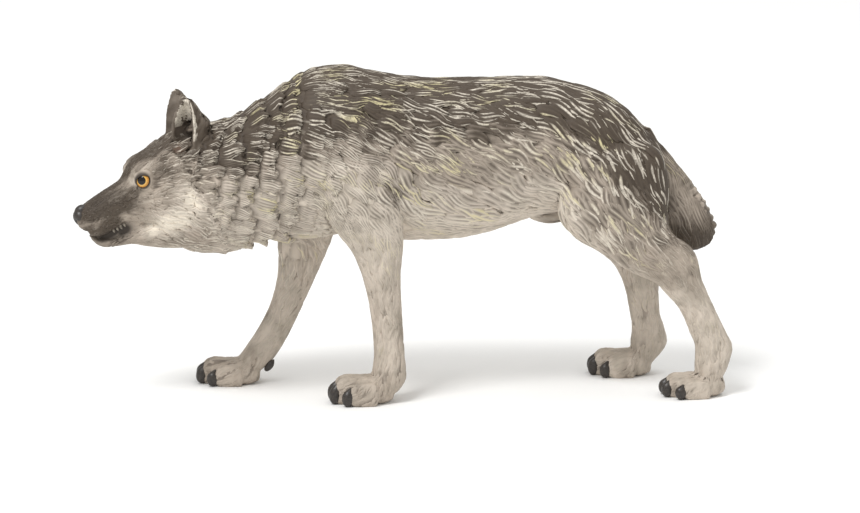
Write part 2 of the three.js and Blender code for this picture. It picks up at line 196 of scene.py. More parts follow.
def make_floor(half_side=3.0):
    """A square of the floor, split once each way, level with the soles."""
    across = np.linspace(-half_side, half_side, 3)
    x, y = np.meshgrid(across, across, indexing="ij")
    points = np.stack([x.ravel(), y.ravel(), 0 * x.ravel()], 1)
    first = np.array([0, 1, 3, 4])[:, None]
    mesh = bpy.data.meshes.new("floor")
    mesh.from_pydata(points.tolist(), [], (first + np.array([0, 3, 4, 1])).tolist())
    floor = bpy.data.objects.new("floor", mesh)
    bpy.context.scene.collection.objects.link(floor)
    paper = Finish("floor_paper", Roughness=0.9)
    grain = paper.noise(900)
    mesh.materials.append(paper.surface(paper.mix(grain, WHITE, tint("f8f8f7")), 0.88 + grain * 0.04))


def make_lamp(name, place, size, power):
    """A square area lamp at a place in metres, turned to face the figure's middle."""
    data = bpy.data.lights.new(name, "AREA")
    data.size = size
    data.energy = power
    lamp = bpy.data.objects.new(name, data)
    lamp.location = place
    away = np.array(place) - AIM * MM
    level = math.hypot(away[0], away[1])
    lamp.rotation_euler = (math.atan2(level, away[2]), 0.0, math.atan2(away[0], -away[1]))
    bpy.context.scene.collection.objects.link(lamp)


def make_world(strength):
    """An even pale light from all round."""
    world = bpy.data.worlds.new("studio")
    world.use_nodes = True
    world.node_tree.nodes["Background"].inputs["Color"].default_value = WHITE
    world.node_tree.nodes["Background"].inputs["Strength"].default_value = strength
    bpy.context.scene.world = world


make_floor()
make_world(0.72)
make_lamp("soft_key", place=(-0.4, -0.4, 0.95), size=0.35, power=6.8)
make_lamp("soft_top", place=(0.25, 0.15, 1.1), size=0.8, power=2.4)
bpy.context.scene.view_settings.view_transform = "Standard"
print("floor and two lamps")

# %% [markdown]
# ## Lofts: the way every limb is made
# A limb is a stack of ribs seen from the side. Each rib is a line from a front or low edge to a
# rear or high edge, and it carries a half width. Round the line runs a superellipse, a rounded
# box between a circle and a square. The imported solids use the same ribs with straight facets.
# Here a smooth curve runs through them, and `inset` holds the skin back by the coat's depth.

# %% Smooth curves through ribs
TO_POLE = np.radians(np.linspace(0, 82, 7))[1:]  # the rings that round off a loft's end


def smooth_between(rows, places):
    """Rows of numbers read at fractional places. Between two rows runs the cubic that leaves each
    with the harmonic mean of its two neighbouring rises, or level where they change sign, so the
    curve never overshoots."""
    rises = np.diff(rows, axis=0)
    before, after = rises[:-1], rises[1:]
    agree = before * after > 0
    inner = np.where(agree, 2 * before * after / np.where(agree, before + after, 1), 0)
    level = np.zeros_like(rows[:1])
    slopes = np.vstack([level, inner, level])
    i = np.clip(places.astype(int), 0, len(rows) - 2)
    t = (places - i)[:, None]
    rise, start, end = rises[i], slopes[i], slopes[i + 1]
    return rows[i] + start * t + (3 * rise - 2 * start - end) * t**2 + (start + end - 2 * rise) * t**3


def smoothstep(values, low, high):
    """0 up to low, 1 from high on, and 3t^2 - 2t^3 between them."""
    t = np.clip((values - low) / (high - low), 0, 1)
    return t * t * (3 - 2 * t)


def unit(vectors):
    """Each row scaled to length 1."""
    return vectors / np.maximum(np.linalg.norm(vectors, axis=-1, keepdims=True), 1e-12)


# %% Closed tubes through rings


def tube(rings, poles):
    """Points and faces of a closed tube. Rings is (count, around, 3) and poles are the two end
    points. Walls are quads from ring to ring, and each pole takes a fan of triangles."""
    count, around = rings.shape[:2]
    points = np.vstack([rings.reshape(-1, 3), poles])
    row = np.arange(count - 1)[:, None] * around
    k = np.arange(around)
    after = (k + 1) % around
    walls = np.stack([row + k, row + after, row + after + around, row + k + around], -1).reshape(-1, 4)
    first, last = count * around, count * around + 1
    top = (count - 1) * around
    fans = np.vstack([np.stack([0 * k + first, after, k], 1),
                      np.stack([0 * k + last, top + k, top + after], 1)])
    inside_out = signed_volume(points, [walls, fans]) < 0
    faces = [f[:, ::-1] if inside_out else f for f in (walls, fans)]
    return points, faces


def signed_volume(points, faces):
    """Six times the volume: the sum over the faces' triangles of a . (b x c)."""
    total = 0.0
    for group in faces:
        for i in range(1, group.shape[1] - 1):
            a, b, c = points[group[:, 0]], points[group[:, i]], points[group[:, i + 1]]
            total += np.einsum("ij,ij->", a, np.cross(b, c))
    return total


def loft(ribs, inset=0.0, around=56, per_rib=8, power=2.15, egg=0.0, cap=0.6):
    """A closed tube through ribs [lowX, lowZ, highX, highZ, y, halfWidth]. At the angle a round a
    rib the point is the rib's middle + half length * s(sin a) + half width * s(cos a), where
    s(v) = sign(v) |v|^(2/power). The width is (1 + egg sin a) times as much, so an egg above 0 is
    widest above the middle. Both ends are rounded off by end_rings."""
    ribs = np.array(ribs, float)
    read = smooth_between(ribs, np.linspace(0, len(ribs) - 1, (len(ribs) - 1) * per_rib + 1))
    low = np.insert(read[:, 0:2], 1, read[:, 4], axis=1)
    high = np.insert(read[:, 2:4], 1, read[:, 4], axis=1)
    middle, half = (low + high) / 2, (high - low) / 2
    half = half * (1 - inset / np.linalg.norm(half, axis=1, keepdims=True))
    width = read[:, 5] - inset
    starts = end_rings(middle, half, width, 0, 1, cap, inset)
    ends = end_rings(middle, half, width, -1, -2, cap, inset)
    middle = np.vstack([starts[0][::-1], middle, ends[0]])
    half = np.vstack([starts[1][::-1], half, ends[1]])
    width = np.concatenate([starts[2][::-1], width, ends[2]])
    a = np.arange(around) * 2 * np.pi / around
    up = np.sign(np.sin(a)) * np.abs(np.sin(a)) ** (2 / power)
    side = np.sign(np.cos(a)) * np.abs(np.cos(a)) ** (2 / power) * (1 + egg * np.sin(a))
    rings = middle[:, None] + half[:, None] * up[None, :, None]
    rings[..., 1] += width[:, None] * side
    return tube(rings, np.array([starts[3], ends[3]]))


def end_rings(middle, half, width, end, inner, cap, inset):
    """The rings and the pole that round off one end of a loft: over a quarter turn they shrink by
    its cos and move out by its sin times the depth, which is cap times the end's lesser half."""
    out = unit(middle[end] - middle[inner])
    depth = cap * min(width[end] + inset, np.linalg.norm(half[end]) + inset) - inset
    return (middle[end] + out * depth * np.sin(TO_POLE)[:, None], half[end] * np.cos(TO_POLE)[:, None],
            width[end] * np.cos(TO_POLE), middle[end] + out * depth)


def ball(sizes, around=40, rows=20):
    """An egg about the origin: a sphere with half sizes along X, Y and Z. At the angles d down
    from the pole and a round it the point is (sin d cos a, sin d sin a, cos d) times the sizes."""
    down = np.linspace(0, np.pi, rows + 2)[1:-1, None]
    turn = np.arange(around)[None] * 2 * np.pi / around
    x, y = np.sin(down) * np.cos(turn), np.sin(down) * np.sin(turn)
    z = np.cos(down) + 0 * turn
    points, faces = tube(np.stack([x, y, z], -1), np.array([[0, 0, 1.0], [0, 0, -1.0]]))
    return points * sizes, faces


def joined(parts):
    """Several shapes as one list of points and one of faces."""
    points, faces, count = [], [], 0
    for shape_points, shape_faces in parts:
        points.append(shape_points)
        faces += [f + count for f in shape_faces]
        count += len(shape_points)
    return np.vstack(points), faces


def turned_up(points, degrees, about=(0.0, 0.0)):
    """Points turned about the upright line through about, anticlockwise from above."""
    a = math.radians(degrees)
    x, y = points[:, 0] - about[0], points[:, 1] - about[1]
    return np.stack([about[0] + x * math.cos(a) - y * math.sin(a),
                     about[1] + x * math.sin(a) + y * math.cos(a), points[:, 2]], 1)


# %% Meshes from arrays


def make_mesh(name, points, faces):
    """A mesh from points in millimetres and groups of faces, each group (n, corners)."""
    mesh = bpy.data.meshes.new(name)
    corners = np.concatenate([f.ravel() for f in faces]).astype(np.int32)
    sizes = np.concatenate([np.full(len(f), f.shape[1]) for f in faces])
    starts = np.concatenate([[0], np.cumsum(sizes)[:-1]]).astype(np.int32)
    mesh.vertices.add(len(points))
    mesh.vertices.foreach_set("co", (np.asarray(points) * MM).astype(np.float32).ravel())
    mesh.loops.add(len(corners))
    mesh.loops.foreach_set("vertex_index", corners)
    mesh.polygons.add(len(sizes))
    mesh.polygons.foreach_set("loop_start", starts)
    mesh.update(calc_edges=True)
    mesh.validate()
    mesh.shade_smooth()
    return mesh


def add_object(name, mesh):
    """An object of the mesh, in the scene."""
    made = bpy.data.objects.new(name, mesh)
    bpy.context.scene.collection.objects.link(made)
    return made


def numbers_in(items, label, width=1, kind=np.float32):
    """A number for each of a mesh's items, or a row of them where width is more than 1."""
    flat = np.empty(len(items) * width, kind)
    items.foreach_get(label, flat)
    return flat.reshape(-1, width) if width > 1 else flat


def points_of(mesh):
    """The mesh's points in millimetres."""
    return numbers_in(mesh.vertices, "co", 3).astype(float) / MM


def normals_of(mesh):
    """The mesh's normal at each point."""
    return numbers_in(mesh.vertex_normals, "vector", 3).astype(float)


def corners_of(mesh):
    """The point at each corner of each face, one after another."""
    return numbers_in(mesh.loops, "vertex_index", 1, np.int32)


def triangles_in(mesh):
    """Each face of n corners is n - 2 triangles."""
    return len(mesh.loops) - 2 * len(mesh.polygons)


def write_mask(mesh, name, values):
    """One number for each point, kept on the mesh under a name."""
    layer = mesh.attributes.get(name) or mesh.attributes.new(name, "FLOAT", "POINT")
    layer.data.foreach_set("value", np.asarray(values, np.float32))


def finish_piece(name, mesh, material, replaced=()):
    """Puts a mesh into the scene as a piece that rides with the figure."""
    piece = add_object(name, mesh)
    mesh.materials.append(material)
    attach(piece, "root")
    if replaced:
        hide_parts(*replaced)
    print(name, triangles_in(mesh), "triangles")


print("mesh helpers ready")

# %% [markdown]
# ## The body's ribs
# These are the same driving ribs as in the solids. A prowling wolf carries its head below the
# shoulder blades, so the line of the back is highest over the forelegs and falls to both ends.

# %% Trunk, neck and tail
STANCE = 9.0  # from the middle plane to the middle of each paw
SIDES = {"left": -1, "right": 1}
# low edge, high edge, y and half width, from the throat back to the rump
TORSO = [
    [-46, 31.8, -42, 52.4, 0, 7.5],
    [-43, 30.0, -38.8, 55.2, 0, 10.2],
    [-39.5, 29.2, -35, 55.4, 0, 11.3],
    [-35.5, 29.2, -31, 57.1, 0, 11.7],
    [-31, 30.9, -27, 59.7, 0, 12.0],
    [-26.5, 31.5, -23.2, 62.2, 0, 12.3],
    [-22, 31.7, -19.6, 64.7, 0, 12.6],
    [-17, 32.0, -15.6, 66.2, 0, 12.9],
    [-11, 32.6, -10.8, 66.4, 0, 13.0],
    [-5, 31.6, -5.5, 65.2, 0, 13.0],
    [2, 31.0, 1, 64.0, 0, 12.8],
    [9, 31.0, 8, 63.6, 0, 12.7],
    [16, 31.9, 15.5, 63.5, 0, 12.2],
    [22, 33.8, 22, 63.6, 0, 11.4],
    [28, 35.6, 28, 63.5, 0, 10.7],
    [33, 36.4, 33.5, 62.4, 0, 10.6],
    [38, 37.2, 39, 60.7, 0, 10.4],
    [42, 38.2, 44, 57.8, 0, 9.8],
    [45.5, 39.7, 48, 53.9, 0, 8.4],
    [48.5, 41.7, 50.8, 50.2, 0, 6.2],
]
SHEATH = [[26.5, 34.4, 27.5, 38, 0, 1.1], [30, 33.6, 31, 38, 0, 1.9], [36, 34.6, 36, 38, 0, 2.2]]
SHEATH_X = 31  # its middle
# front edge, rear edge, y and half width, from the root down to the tip
TAIL = [
    [45, 49.8, 50.2, 52.6, 0, 2.4],
    [46.5, 46.8, 53, 48.4, 0.2, 3.0],
    [48.5, 42.2, 56.6, 44.2, 0.4, 3.4],
    [50, 37.2, 60.1, 39.6, 0.5, 3.6],
    [51.2, 33.1, 62.5, 35.5, 0.6, 3.5],
    [52.8, 29.8, 63.9, 32.1, 0.6, 3.0],
    [55.2, 27.7, 62.8, 29.4, 0.6, 2.1],
]

# %% Legs and paws
# front edge, rear edge, y outwards from the middle plane and half width, from the top down
LEGS = {
    "fore_left": [
        [-17, 51.2, -6, 53.2, 6.5, 4.0],
        [-17.6, 46.2, -3.2, 47.7, 8.6, 5.4],
        [-15.4, 38.7, -0.6, 39.7, 9.0, 5.3],
        [-13.2, 34.9, -0.1, 34.9, STANCE, 4.7],
        [-10, 30.1, -0.3, 30.1, STANCE, 3.9],
        [-8.2, 25, -0.5, 25, STANCE, 3.4],
        [-7.1, 20.1, -0.3, 20.1, STANCE, 3.0],
        [-6.4, 14.7, 0, 14.7, STANCE, 2.8],
        [-6.1, 9.7, 0.3, 9.7, STANCE, 3.0],
        [-6.6, 5.2, 0.7, 5.2, STANCE, 3.3],
        [-6, 2.6, -0.6, 2.6, STANCE, 3.2],
    ],
    "fore_right": [
        [-19, 51.2, -8, 53.2, 6.5, 4.0],
        [-20.6, 46.2, -6.4, 48.2, 8.6, 5.4],
        [-22, 38.2, -9, 40.7, 9.0, 5.2],
        [-23.4, 32.2, -11.4, 34.6, STANCE, 4.5],
        [-23.6, 26.6, -13.4, 28.6, STANCE, 3.8],
        [-24.3, 21.1, -15.7, 23.0, STANCE, 3.3],
        [-25.7, 16, -18.0, 17.8, STANCE, 3.0],
        [-28.2, 11, -20.2, 13.0, STANCE, 3.0],
        [-31, 6.8, -22.4, 8.6, STANCE, 3.2],
        [-33, 3.8, -25.2, 4.4, STANCE, 3.4],
        [-33, 2.2, -27.6, 2.4, STANCE, 3.0],
    ],
    "hind_left": [
        [35, 51.5, 46, 52.2, 5.6, 3.2],
        [30.8, 46.2, 51.6, 48.8, 7.0, 5.1],
        [31, 37.9, 52.7, 42.8, 7.3, 5.2],
        [34, 32.8, 52.6, 37.8, 7.7, 4.9],
        [38, 30.4, 52.8, 34.4, 8.1, 4.4],
        [42.5, 27.2, 54.3, 32.2, 8.5, 3.8],
        [46.6, 24.7, 56.9, 30.7, 8.8, 3.4],
        [50, 23.2, 58.7, 28.2, STANCE, 3.1],
        [51.9, 21.2, 59.6, 24.2, STANCE, 2.8],
        [55, 17.6, 62, 18.6, STANCE, 2.6],
        [57, 13.2, 64.4, 13.4, STANCE, 2.8],
        [58.3, 9.5, 66.1, 9.5, STANCE, 3.1],
        [58.2, 5.7, 65.2, 5.7, STANCE, 3.3],
        [58.6, 2.6, 63.6, 2.6, STANCE, 3.0],
    ],
    "hind_right": [
        [35, 51.5, 46, 52.2, 5.6, 3.2],
        [30.2, 46.2, 50.6, 48.4, 7.0, 5.1],
        [30, 38.3, 50.6, 42.3, 7.3, 5.2],
        [32.6, 33.6, 51.2, 37.3, 7.7, 4.9],
        [37, 30.2, 53, 33.4, 8.1, 4.4],
        [41, 26.4, 54.2, 29.6, 8.6, 3.7],
        [44.6, 22.1, 54.2, 25.1, STANCE, 3.2],
        [46.4, 17.8, 53.6, 19.1, STANCE, 2.8],
        [47.3, 13.5, 53.8, 13.8, STANCE, 2.6],
        [47.9, 9.5, 54.9, 9.5, STANCE, 2.8],
        [47.6, 6.2, 55.5, 6.6, STANCE, 3.2],
        [47.6, 2.8, 52.8, 2.8, STANCE, 3.0],
    ],
}
# the paw's middle, the degrees it turns outwards and its toes' height
PAWS = {
    "fore_left": (-7.7, 3, 5.6),
    "fore_right": (-33.3, 4, 5.1),
    "hind_left": (58.7, 5, 4.5),
    "hind_right": (46.4, 3, 5.2),
}
DEWCLAWS = {"fore_left": (-2.4, 4.0), "fore_right": (-25.9, 3.8)}  # x and z of its middle
PAW_FRONT, PAW_HEEL, PAW_HALF = 6.9, 6.1, 4.7  # from the paw's own middle
TOE_HALF, TOE_SPREAD, TOE_BACK = 1.17, 1.2, 2.7


def side_of(name):
    """The sign of Y on a limb's side of the figure."""
    return SIDES[name.split("_")[1]]


def paw_place(name):
    """x and y of a paw's middle, and the degrees it is turned about it."""
    x, turn, _ = PAWS[name]
    return x, side_of(name) * STANCE, -side_of(name) * turn


def put_paw(points, name):
    """Points made about a paw's own middle, taken to where the paw stands."""
    x, y, turn = paw_place(name)
    return turned_up(points, turn) + [x, y, 0]


def toes_of(name):
    """Each toe's place across the paw in half toes, how far forward its tip is, and its height."""
    height = PAWS[name][2]
    return [(place, -PAW_FRONT + TOE_BACK * (abs(place) > 2), height * (0.86 if abs(place) > 2 else 1))
            for place in (-3, -1, 1, 3)]


def paw_shapes(name):
    """A pad and four rounded toes, each a loft from front to back or back to front. A toe's top
    rises from its tip."""
    height = PAWS[name][2]
    shapes = [loft([
        [PAW_HEEL - 0.9, 0.4, PAW_HEEL - 0.9, 3.6, 0, PAW_HALF * 0.6],
        [PAW_HEEL - 3.2, -0.4, PAW_HEEL - 3.2, height, 0, PAW_HALF * 0.84],
        [0.5, -0.4, 0.5, height, 0, PAW_HALF * 0.86],
        [3 - PAW_FRONT, -0.4, 3 - PAW_FRONT, height * 0.9, 0, PAW_HALF * 0.8],
    ], inset=0.15, around=40, power=2.4, cap=0.3)]
    for place, tip, tall in toes_of(name):
        y = place * TOE_SPREAD
        shapes.append(loft([
            [tip + 0.75, 0.5, tip + 0.75, tall * 0.66, y, TOE_HALF * 0.72],
            [tip + 1.7, -0.1, tip + 1.7, tall * 0.9, y, TOE_HALF * 0.98],
            [tip + 3.2, -0.4, tip + 3.2, tall, y, TOE_HALF * 1.04],
            [tip + 5.6, -0.4, tip + 5.6, tall * 0.97, y, TOE_HALF * 1.0],
        ], inset=0.1, around=28, power=2.5, cap=0.75))
    return [(put_paw(points, name), faces) for points, faces in shapes]


def leg_shape(name, inset):
    """The loft of one leg, its ribs moved to its own side."""
    ribs = np.array(LEGS[name], float)
    ribs[:, 4] *= side_of(name)
    return loft(ribs, inset=inset, around=44, cap=0.4)


# %% [markdown]
# ## The head
# The head is made straight ahead in its own axes, forward along the muzzle and height square to
# it, measured from the level of the eyes. It is then tilted down, and turned a little to the
# wolf's left, so its two sides are not seen alike.

# %% Head, jaw and ears
TILT, YAW = 25.0, 11.0  # degrees
HEAD_PIVOT = -42.0  # the X of the upright line that the head turns about
EYES_X, EYES_Z = -51.0, 43.5  # where forward and height are 0, before the turn
# low edge and high edge, each as forward and height, then y and half width
SKULL = [
    [14.4, -2.9, 14.3, 1.3, 0, 2.1],
    [13.3, -4.1, 13.1, 2.0, 0, 2.9],
    [11, -4.7, 10.5, 2.5, 0, 3.4],
    [8, -4.8, 7, 2.85, 0, 3.8],
    [5.4, -5.6, 3.7, 3.2, 0, 4.5],
    [3.4, -7.2, 2.1, 4.3, 0, 5.6],
    [1.2, -8.8, 0.6, 5.3, 0, 6.8],
    [-1.6, -10, -2, 6.0, 0, 7.9],
    [-4.6, -11, -5, 6.1, 0, 8.7],
    [-8, -11.5, -8, 6.7, 0, 9.1],
    [-11, -11, -11, 7.0, 0, 9.2],
]
JAW = [
    [14.1, -5.1, 14.3, -3.75, 0, 1.4],
    [13.5, -6.6, 13.7, -4.4, 0, 2.1],
    [12.2, -7.6, 12.4, -5.3, 0, 2.6],
    [10.2, -8.3, 10.3, -6.1, 0, 3.0],
    [7.6, -9.2, 7.5, -6.6, 0, 3.5],
    [5.2, -11.0, 4.8, -6.2, 0, 4.4],
    [2, -12.8, 2, -6, 0, 6.0],
    [-1.5, -14.4, -1.5, -6, 0, 7.6],
    [-5, -15.2, -5, -6, 0, 8.6],
]
MOUTH = [
    [12.8, -6.2, 13.0, -3.0, 0, 1.3],
    [10.0, -7.4, 10.0, -3.0, 0, 2.0],
    [7.4, -8.4, 7.4, -3.0, 0, 2.5],
    [5.0, -9.0, 5.0, -3.0, 0, 3.2],
]
EYE_AT = (0.3, 2.3, 5.3)  # forward, height, and distance from the middle plane
EYE_OUT = (0.34, 0.12, 0.93)  # the way that the eye faces, in the same order
SOCKET_DEPTH = 1.1
EAR_X, EAR_Z, EAR_SIDE, EAR_HEIGHT = -44.3, 52.6, 5.0, 8.7
EAR_CUP = 0.6  # how deep the cup is, as a share of the ear's depth
EAR_FACING, EAR_SPLAY = 34.0, 6.0  # degrees
# height as a share of the whole, half the width between the rims, depth of the back, lean back
EAR_SECTIONS = [
    [-0.3, 2.4, 4.8, 0.7],
    [0, 3.3, 7.0, 0],
    [0.3, 3.3, 6.1, 0.1],
    [0.5, 3.0, 5.1, 0.2],
    [0.67, 2.45, 3.7, 0.4],
    [0.84, 1.75, 2.4, 0.6],
    [0.95, 1.15, 1.5, 0.7],
]


def head_points(f, h, y):
    """Head axes to the figure's: the tilt turns forward and height, then the yaw turns all."""
    c, s = math.cos(math.radians(TILT)), math.sin(math.radians(TILT))
    straight = np.stack([EYES_X - c * f - s * h, y + 0 * f, EYES_Z - s * f + c * h], -1)
    return turned_up(straight.reshape(-1, 3), YAW, (HEAD_PIVOT, 0))


def in_head(points):
    """The figure's points in head axes: forward, height and y, the opposite of head_points."""
    straight = turned_up(points, -YAW, (HEAD_PIVOT, 0))
    c, s = math.cos(math.radians(TILT)), math.sin(math.radians(TILT))
    dx, dz = straight[:, 0] - EYES_X, straight[:, 2] - EYES_Z
    return -c * dx - s * dz, -s * dx + c * dz, straight[:, 1]


def head_loft(ribs, **options):
    """A loft whose ribs are in head axes. The ribs are tilted, and the finished shape turned."""
    ribs = np.array(ribs, float)
    c, s = math.cos(math.radians(TILT)), math.sin(math.radians(TILT))
    placed = ribs.copy()
    for at in (0, 2):
        placed[:, at] = EYES_X - c * ribs[:, at] - s * ribs[:, at + 1]
        placed[:, at + 1] = EYES_Z - s * ribs[:, at] + c * ribs[:, at + 1]
    points, faces = loft(placed, **options)
    return turned_up(points, YAW, (HEAD_PIVOT, 0)), faces


def head_ball(f, h, y, sizes):
    """An egg in head axes, with half sizes forward, across and up."""
    points, faces = ball(sizes)
    return head_points(f - points[:, 0], h + points[:, 2], y + points[:, 1]), [g[:, ::-1] for g in faces]


def ear_shape(side, inset=0.1):
    """The back of each section is half an ellipse (half cos a, depth sin a). Its front runs from
    rim to rim, and is pushed in between them by a share of the depth, which makes the cup."""
    rows = np.array(EAR_SECTIONS)
    read = smooth_between(rows, np.linspace(0, len(rows) - 1, 34))
    up, half, depth, lean = (read[:, i:i + 1] for i in range(4))
    half, depth = half - inset, depth - inset
    a = np.arange(60) * 2 * np.pi / 60
    cup = EAR_CUP * depth * smoothstep(up, 0.0, 0.3) * (1 - smoothstep(up, 0.82, 1.0))
    front = cup * (1 - smoothstep(np.abs(np.cos(a)), 0.4, 0.8)) - 0.1 * np.abs(np.sin(a))
    into = lean + np.where(np.sin(a) > 0, depth * np.sin(a), front)
    rings = np.stack([into, half * np.cos(a), EAR_HEIGHT * up + 0 * into], -1)
    points, faces = tube(rings, np.array([[2.0, 0, -0.35 * EAR_HEIGHT], [1.25, 0, EAR_HEIGHT]]))
    points = turned_up(points, -side * EAR_FACING)
    a = math.radians(-side * EAR_SPLAY)
    y, z = points[:, 1].copy(), points[:, 2].copy()
    points[:, 1] = y * math.cos(a) - z * math.sin(a)
    points[:, 2] = y * math.sin(a) + z * math.cos(a)
    points = points + [EAR_X, side * EAR_SIDE, EAR_Z]
    return turned_up(points, YAW, (HEAD_PIVOT, 0)), faces


def in_ear(points):
    """For each point, in the axes of the ear on its side: how far into the head, how far across
    as a share of the half width there, how far up as a share of the height, and whether it lies
    on the ear's back rather than in its cup."""
    straight = turned_up(points, -YAW, (HEAD_PIVOT, 0))
    side = np.where(straight[:, 1] > 0, 1, -1)
    x, y, z = straight[:, 0] - EAR_X, straight[:, 1] - side * EAR_SIDE, straight[:, 2] - EAR_Z
    splay = np.radians(side * EAR_SPLAY)
    y, z = y * np.cos(splay) - z * np.sin(splay), y * np.sin(splay) + z * np.cos(splay)
    facing = np.radians(side * EAR_FACING)
    x, y = x * np.cos(facing) - y * np.sin(facing), x * np.sin(facing) + y * np.cos(facing)
    rows = np.array(EAR_SECTIONS)
    up = z / EAR_HEIGHT
    half, depth, lean = (np.interp(up, rows[:, 0], rows[:, i]) for i in (1, 2, 3))
    across = y * side / half
    cup = EAR_CUP * depth * smoothstep(up, 0.0, 0.3) * (1 - smoothstep(np.abs(across), 0.4, 0.8))
    back = depth * np.sqrt(np.maximum(1 - across**2, 0))
    return x - lean, across, up, x - lean > (cup + back) / 2


print("head axes run forward and down at", TILT, "degrees, and turn", YAW, "to the left")

# %% [markdown]
# ## One skin
# All these closed shapes overlap where limbs meet. A voxel remesh melts them into one surface
# with no seams, as if they had been dipped in clay, and a light smoothing takes off the voxel
# steps. Joining by booleans would keep hard creases where a shoulder should flow into the ribs.

# %% Melt the shapes together
COAT_DEPTH = {"torso": 0.42, "leg": 0.28, "tail": 0.35, "head": 0.18}  # left free for tufts
VOXEL = 0.3
# brow, lip and cheek: forward, height, distance from the middle plane, and half sizes
SWELLINGS = [(-1.1, 3.7, 3.8, [2.8, 1.8, 1.4]), (10.2, -2.95, 2.0, [4.2, 1.5, 1.7]),
             (-4.5, -4.5, 5.6, [6.4, 4.3, 6.0])]


def body_shapes():
    """Every closed shape of the flesh, brows, lips, cheeks and ears included."""
    shapes = [loft(TORSO, inset=COAT_DEPTH["torso"], around=96, egg=0.05),
              loft(SHEATH, inset=0.1, around=32),
              loft(TAIL, inset=COAT_DEPTH["tail"], around=48, cap=0.5),
              head_loft(SKULL, inset=COAT_DEPTH["head"], around=72, power=2.3, egg=-0.04),
              head_loft(JAW, inset=0.12, around=56, power=2.8),
              head_loft(MOUTH, around=32, power=3.0)]
    for side in SIDES.values():
        shapes += [head_ball(f, h, side * y, sizes) for f, h, y, sizes in SWELLINGS]
        shapes.append(ear_shape(side))
    for name in LEGS:
        shapes.append(leg_shape(name, COAT_DEPTH["leg"]))
        shapes += paw_shapes(name)
    return shapes


def remeshed(points, faces, size):
    """The union of closed shapes as one surface of voxels of the given size."""
    rough = add_object("rough", make_mesh("rough", points, faces))
    remesh = rough.modifiers.new("remesh", "REMESH")
    remesh.mode = "VOXEL"
    remesh.voxel_size = size * MM
    graph = bpy.context.evaluated_depsgraph_get()
    melted = bpy.data.meshes.new_from_object(rough.evaluated_get(graph))
    bpy.data.objects.remove(rough)
    return melted


def edges_of(mesh):
    """The two end points of each edge."""
    return numbers_in(mesh.edges, "vertices", 2, np.int32)


def spread(values, edges, share):
    """One round of smoothing: each row moves a share of the way to the mean of its neighbours."""
    count = len(values)
    degree = np.bincount(edges.ravel(), minlength=count)
    columns = []
    for column in values.T:
        total = np.bincount(edges[:, 0], column[edges[:, 1]], count)
        total += np.bincount(edges[:, 1], column[edges[:, 0]], count)
        columns.append(total / np.maximum(degree, 1))
    return values + (np.stack(columns, 1) - values) * share


melted = remeshed(*joined(body_shapes()), VOXEL)
skin_points = points_of(melted)
skin_edges = edges_of(melted)
print("melted skin:", len(skin_points), "points")

# %% Smooth it, least on the head and toes
FINE_TURNS, BROAD_TURNS = 6, 26


def fine_places(points):
    """1 on the head and paws, where small forms count, and 0 on the trunk and limbs."""
    f, _, _ = in_head(points)
    head = smoothstep(f, -9.0, -4.0)
    paws = 1 - smoothstep(points[:, 2], 5.0, 9.0)
    ears = smoothstep(points[:, 2] + 0.3 * points[:, 0], 39.0, 40.5) * (points[:, 0] < -37)
    return np.maximum(np.maximum(head, paws), ears)


def smoothed(points, edges):
    """Shrinking and growing rounds in turn, so that voxel steps go and ears keep their size."""
    broad = (1 - fine_places(points))[:, None]
    for turn in range(BROAD_TURNS):
        share = 0.5 if turn % 2 == 0 else -0.52
        weight = 1.0 if turn < FINE_TURNS else broad
        points = spread(points, edges, share * weight)
    return points


skin_points = smoothed(skin_points, skin_edges)
print("smoothed in", BROAD_TURNS, "rounds")

# %% [markdown]
# ## A combing chart
# Hair has a lie: back from the nose, over the skull, along the neck, down behind the shoulder and
# down the legs. The chart below is what a maker would sketch first. It names places on one side
# of the wolf, the way the hair runs there, and how long, wide and high its tufts are. Any other
# point takes the mean of the chart's rows, each weighted by a bell curve of its distance.

# %% Tuft sizes and the chart
# length, width and height in millimetres, how much light paint the brush leaves on a tuft, how
# far apart tufts are rooted, and how blunt their tips are: 1 ends in a step and 0 dies away
NECK, CREST = (4.6, 2.7, 0.55, 0.95, 1.9, 1.0), (5.0, 2.4, 0.32, 0.90, 1.9, 0.7)
BACK, FLANK = (6.5, 2.6, 0.36, 0.90, 2.1, 0.5), (8.0, 3.6, 0.56, 0.85, 3.0, 0.5)
CLUMP, BELLY = (5.8, 3.4, 0.60, 0.90, 2.8, 0.6), (5.0, 2.4, 0.20, 0.40, 2.4, 0.1)
RUMP, THIGH = (8.0, 3.2, 0.42, 1.00, 2.5, 0.4), (9.0, 3.8, 0.62, 0.95, 3.0, 0.45)
HANG, LEG = (9.0, 2.2, 0.30, 0.45, 2.2, 0.2), (4.2, 0.9, 0.08, 0.60, 1.15, 0.0)
PAW, MUZZLE = (2.2, 0.7, 0.02, 0.35, 1.1, 0.0), (1.1, 0.45, 0.05, 0.52, 0.6, 0.2)
FACE, CHEEK = (1.7, 0.55, 0.07, 0.50, 0.72, 0.3), (2.9, 0.7, 0.14, 0.85, 0.8, 0.4)
EAR = (1.5, 0.5, 0.04, 0.30, 0.8, 0.1)
LENGTH, WIDTH, HEIGHT, LIGHT, GAP, BLUNT = range(6)  # the places of these numbers in a tuft
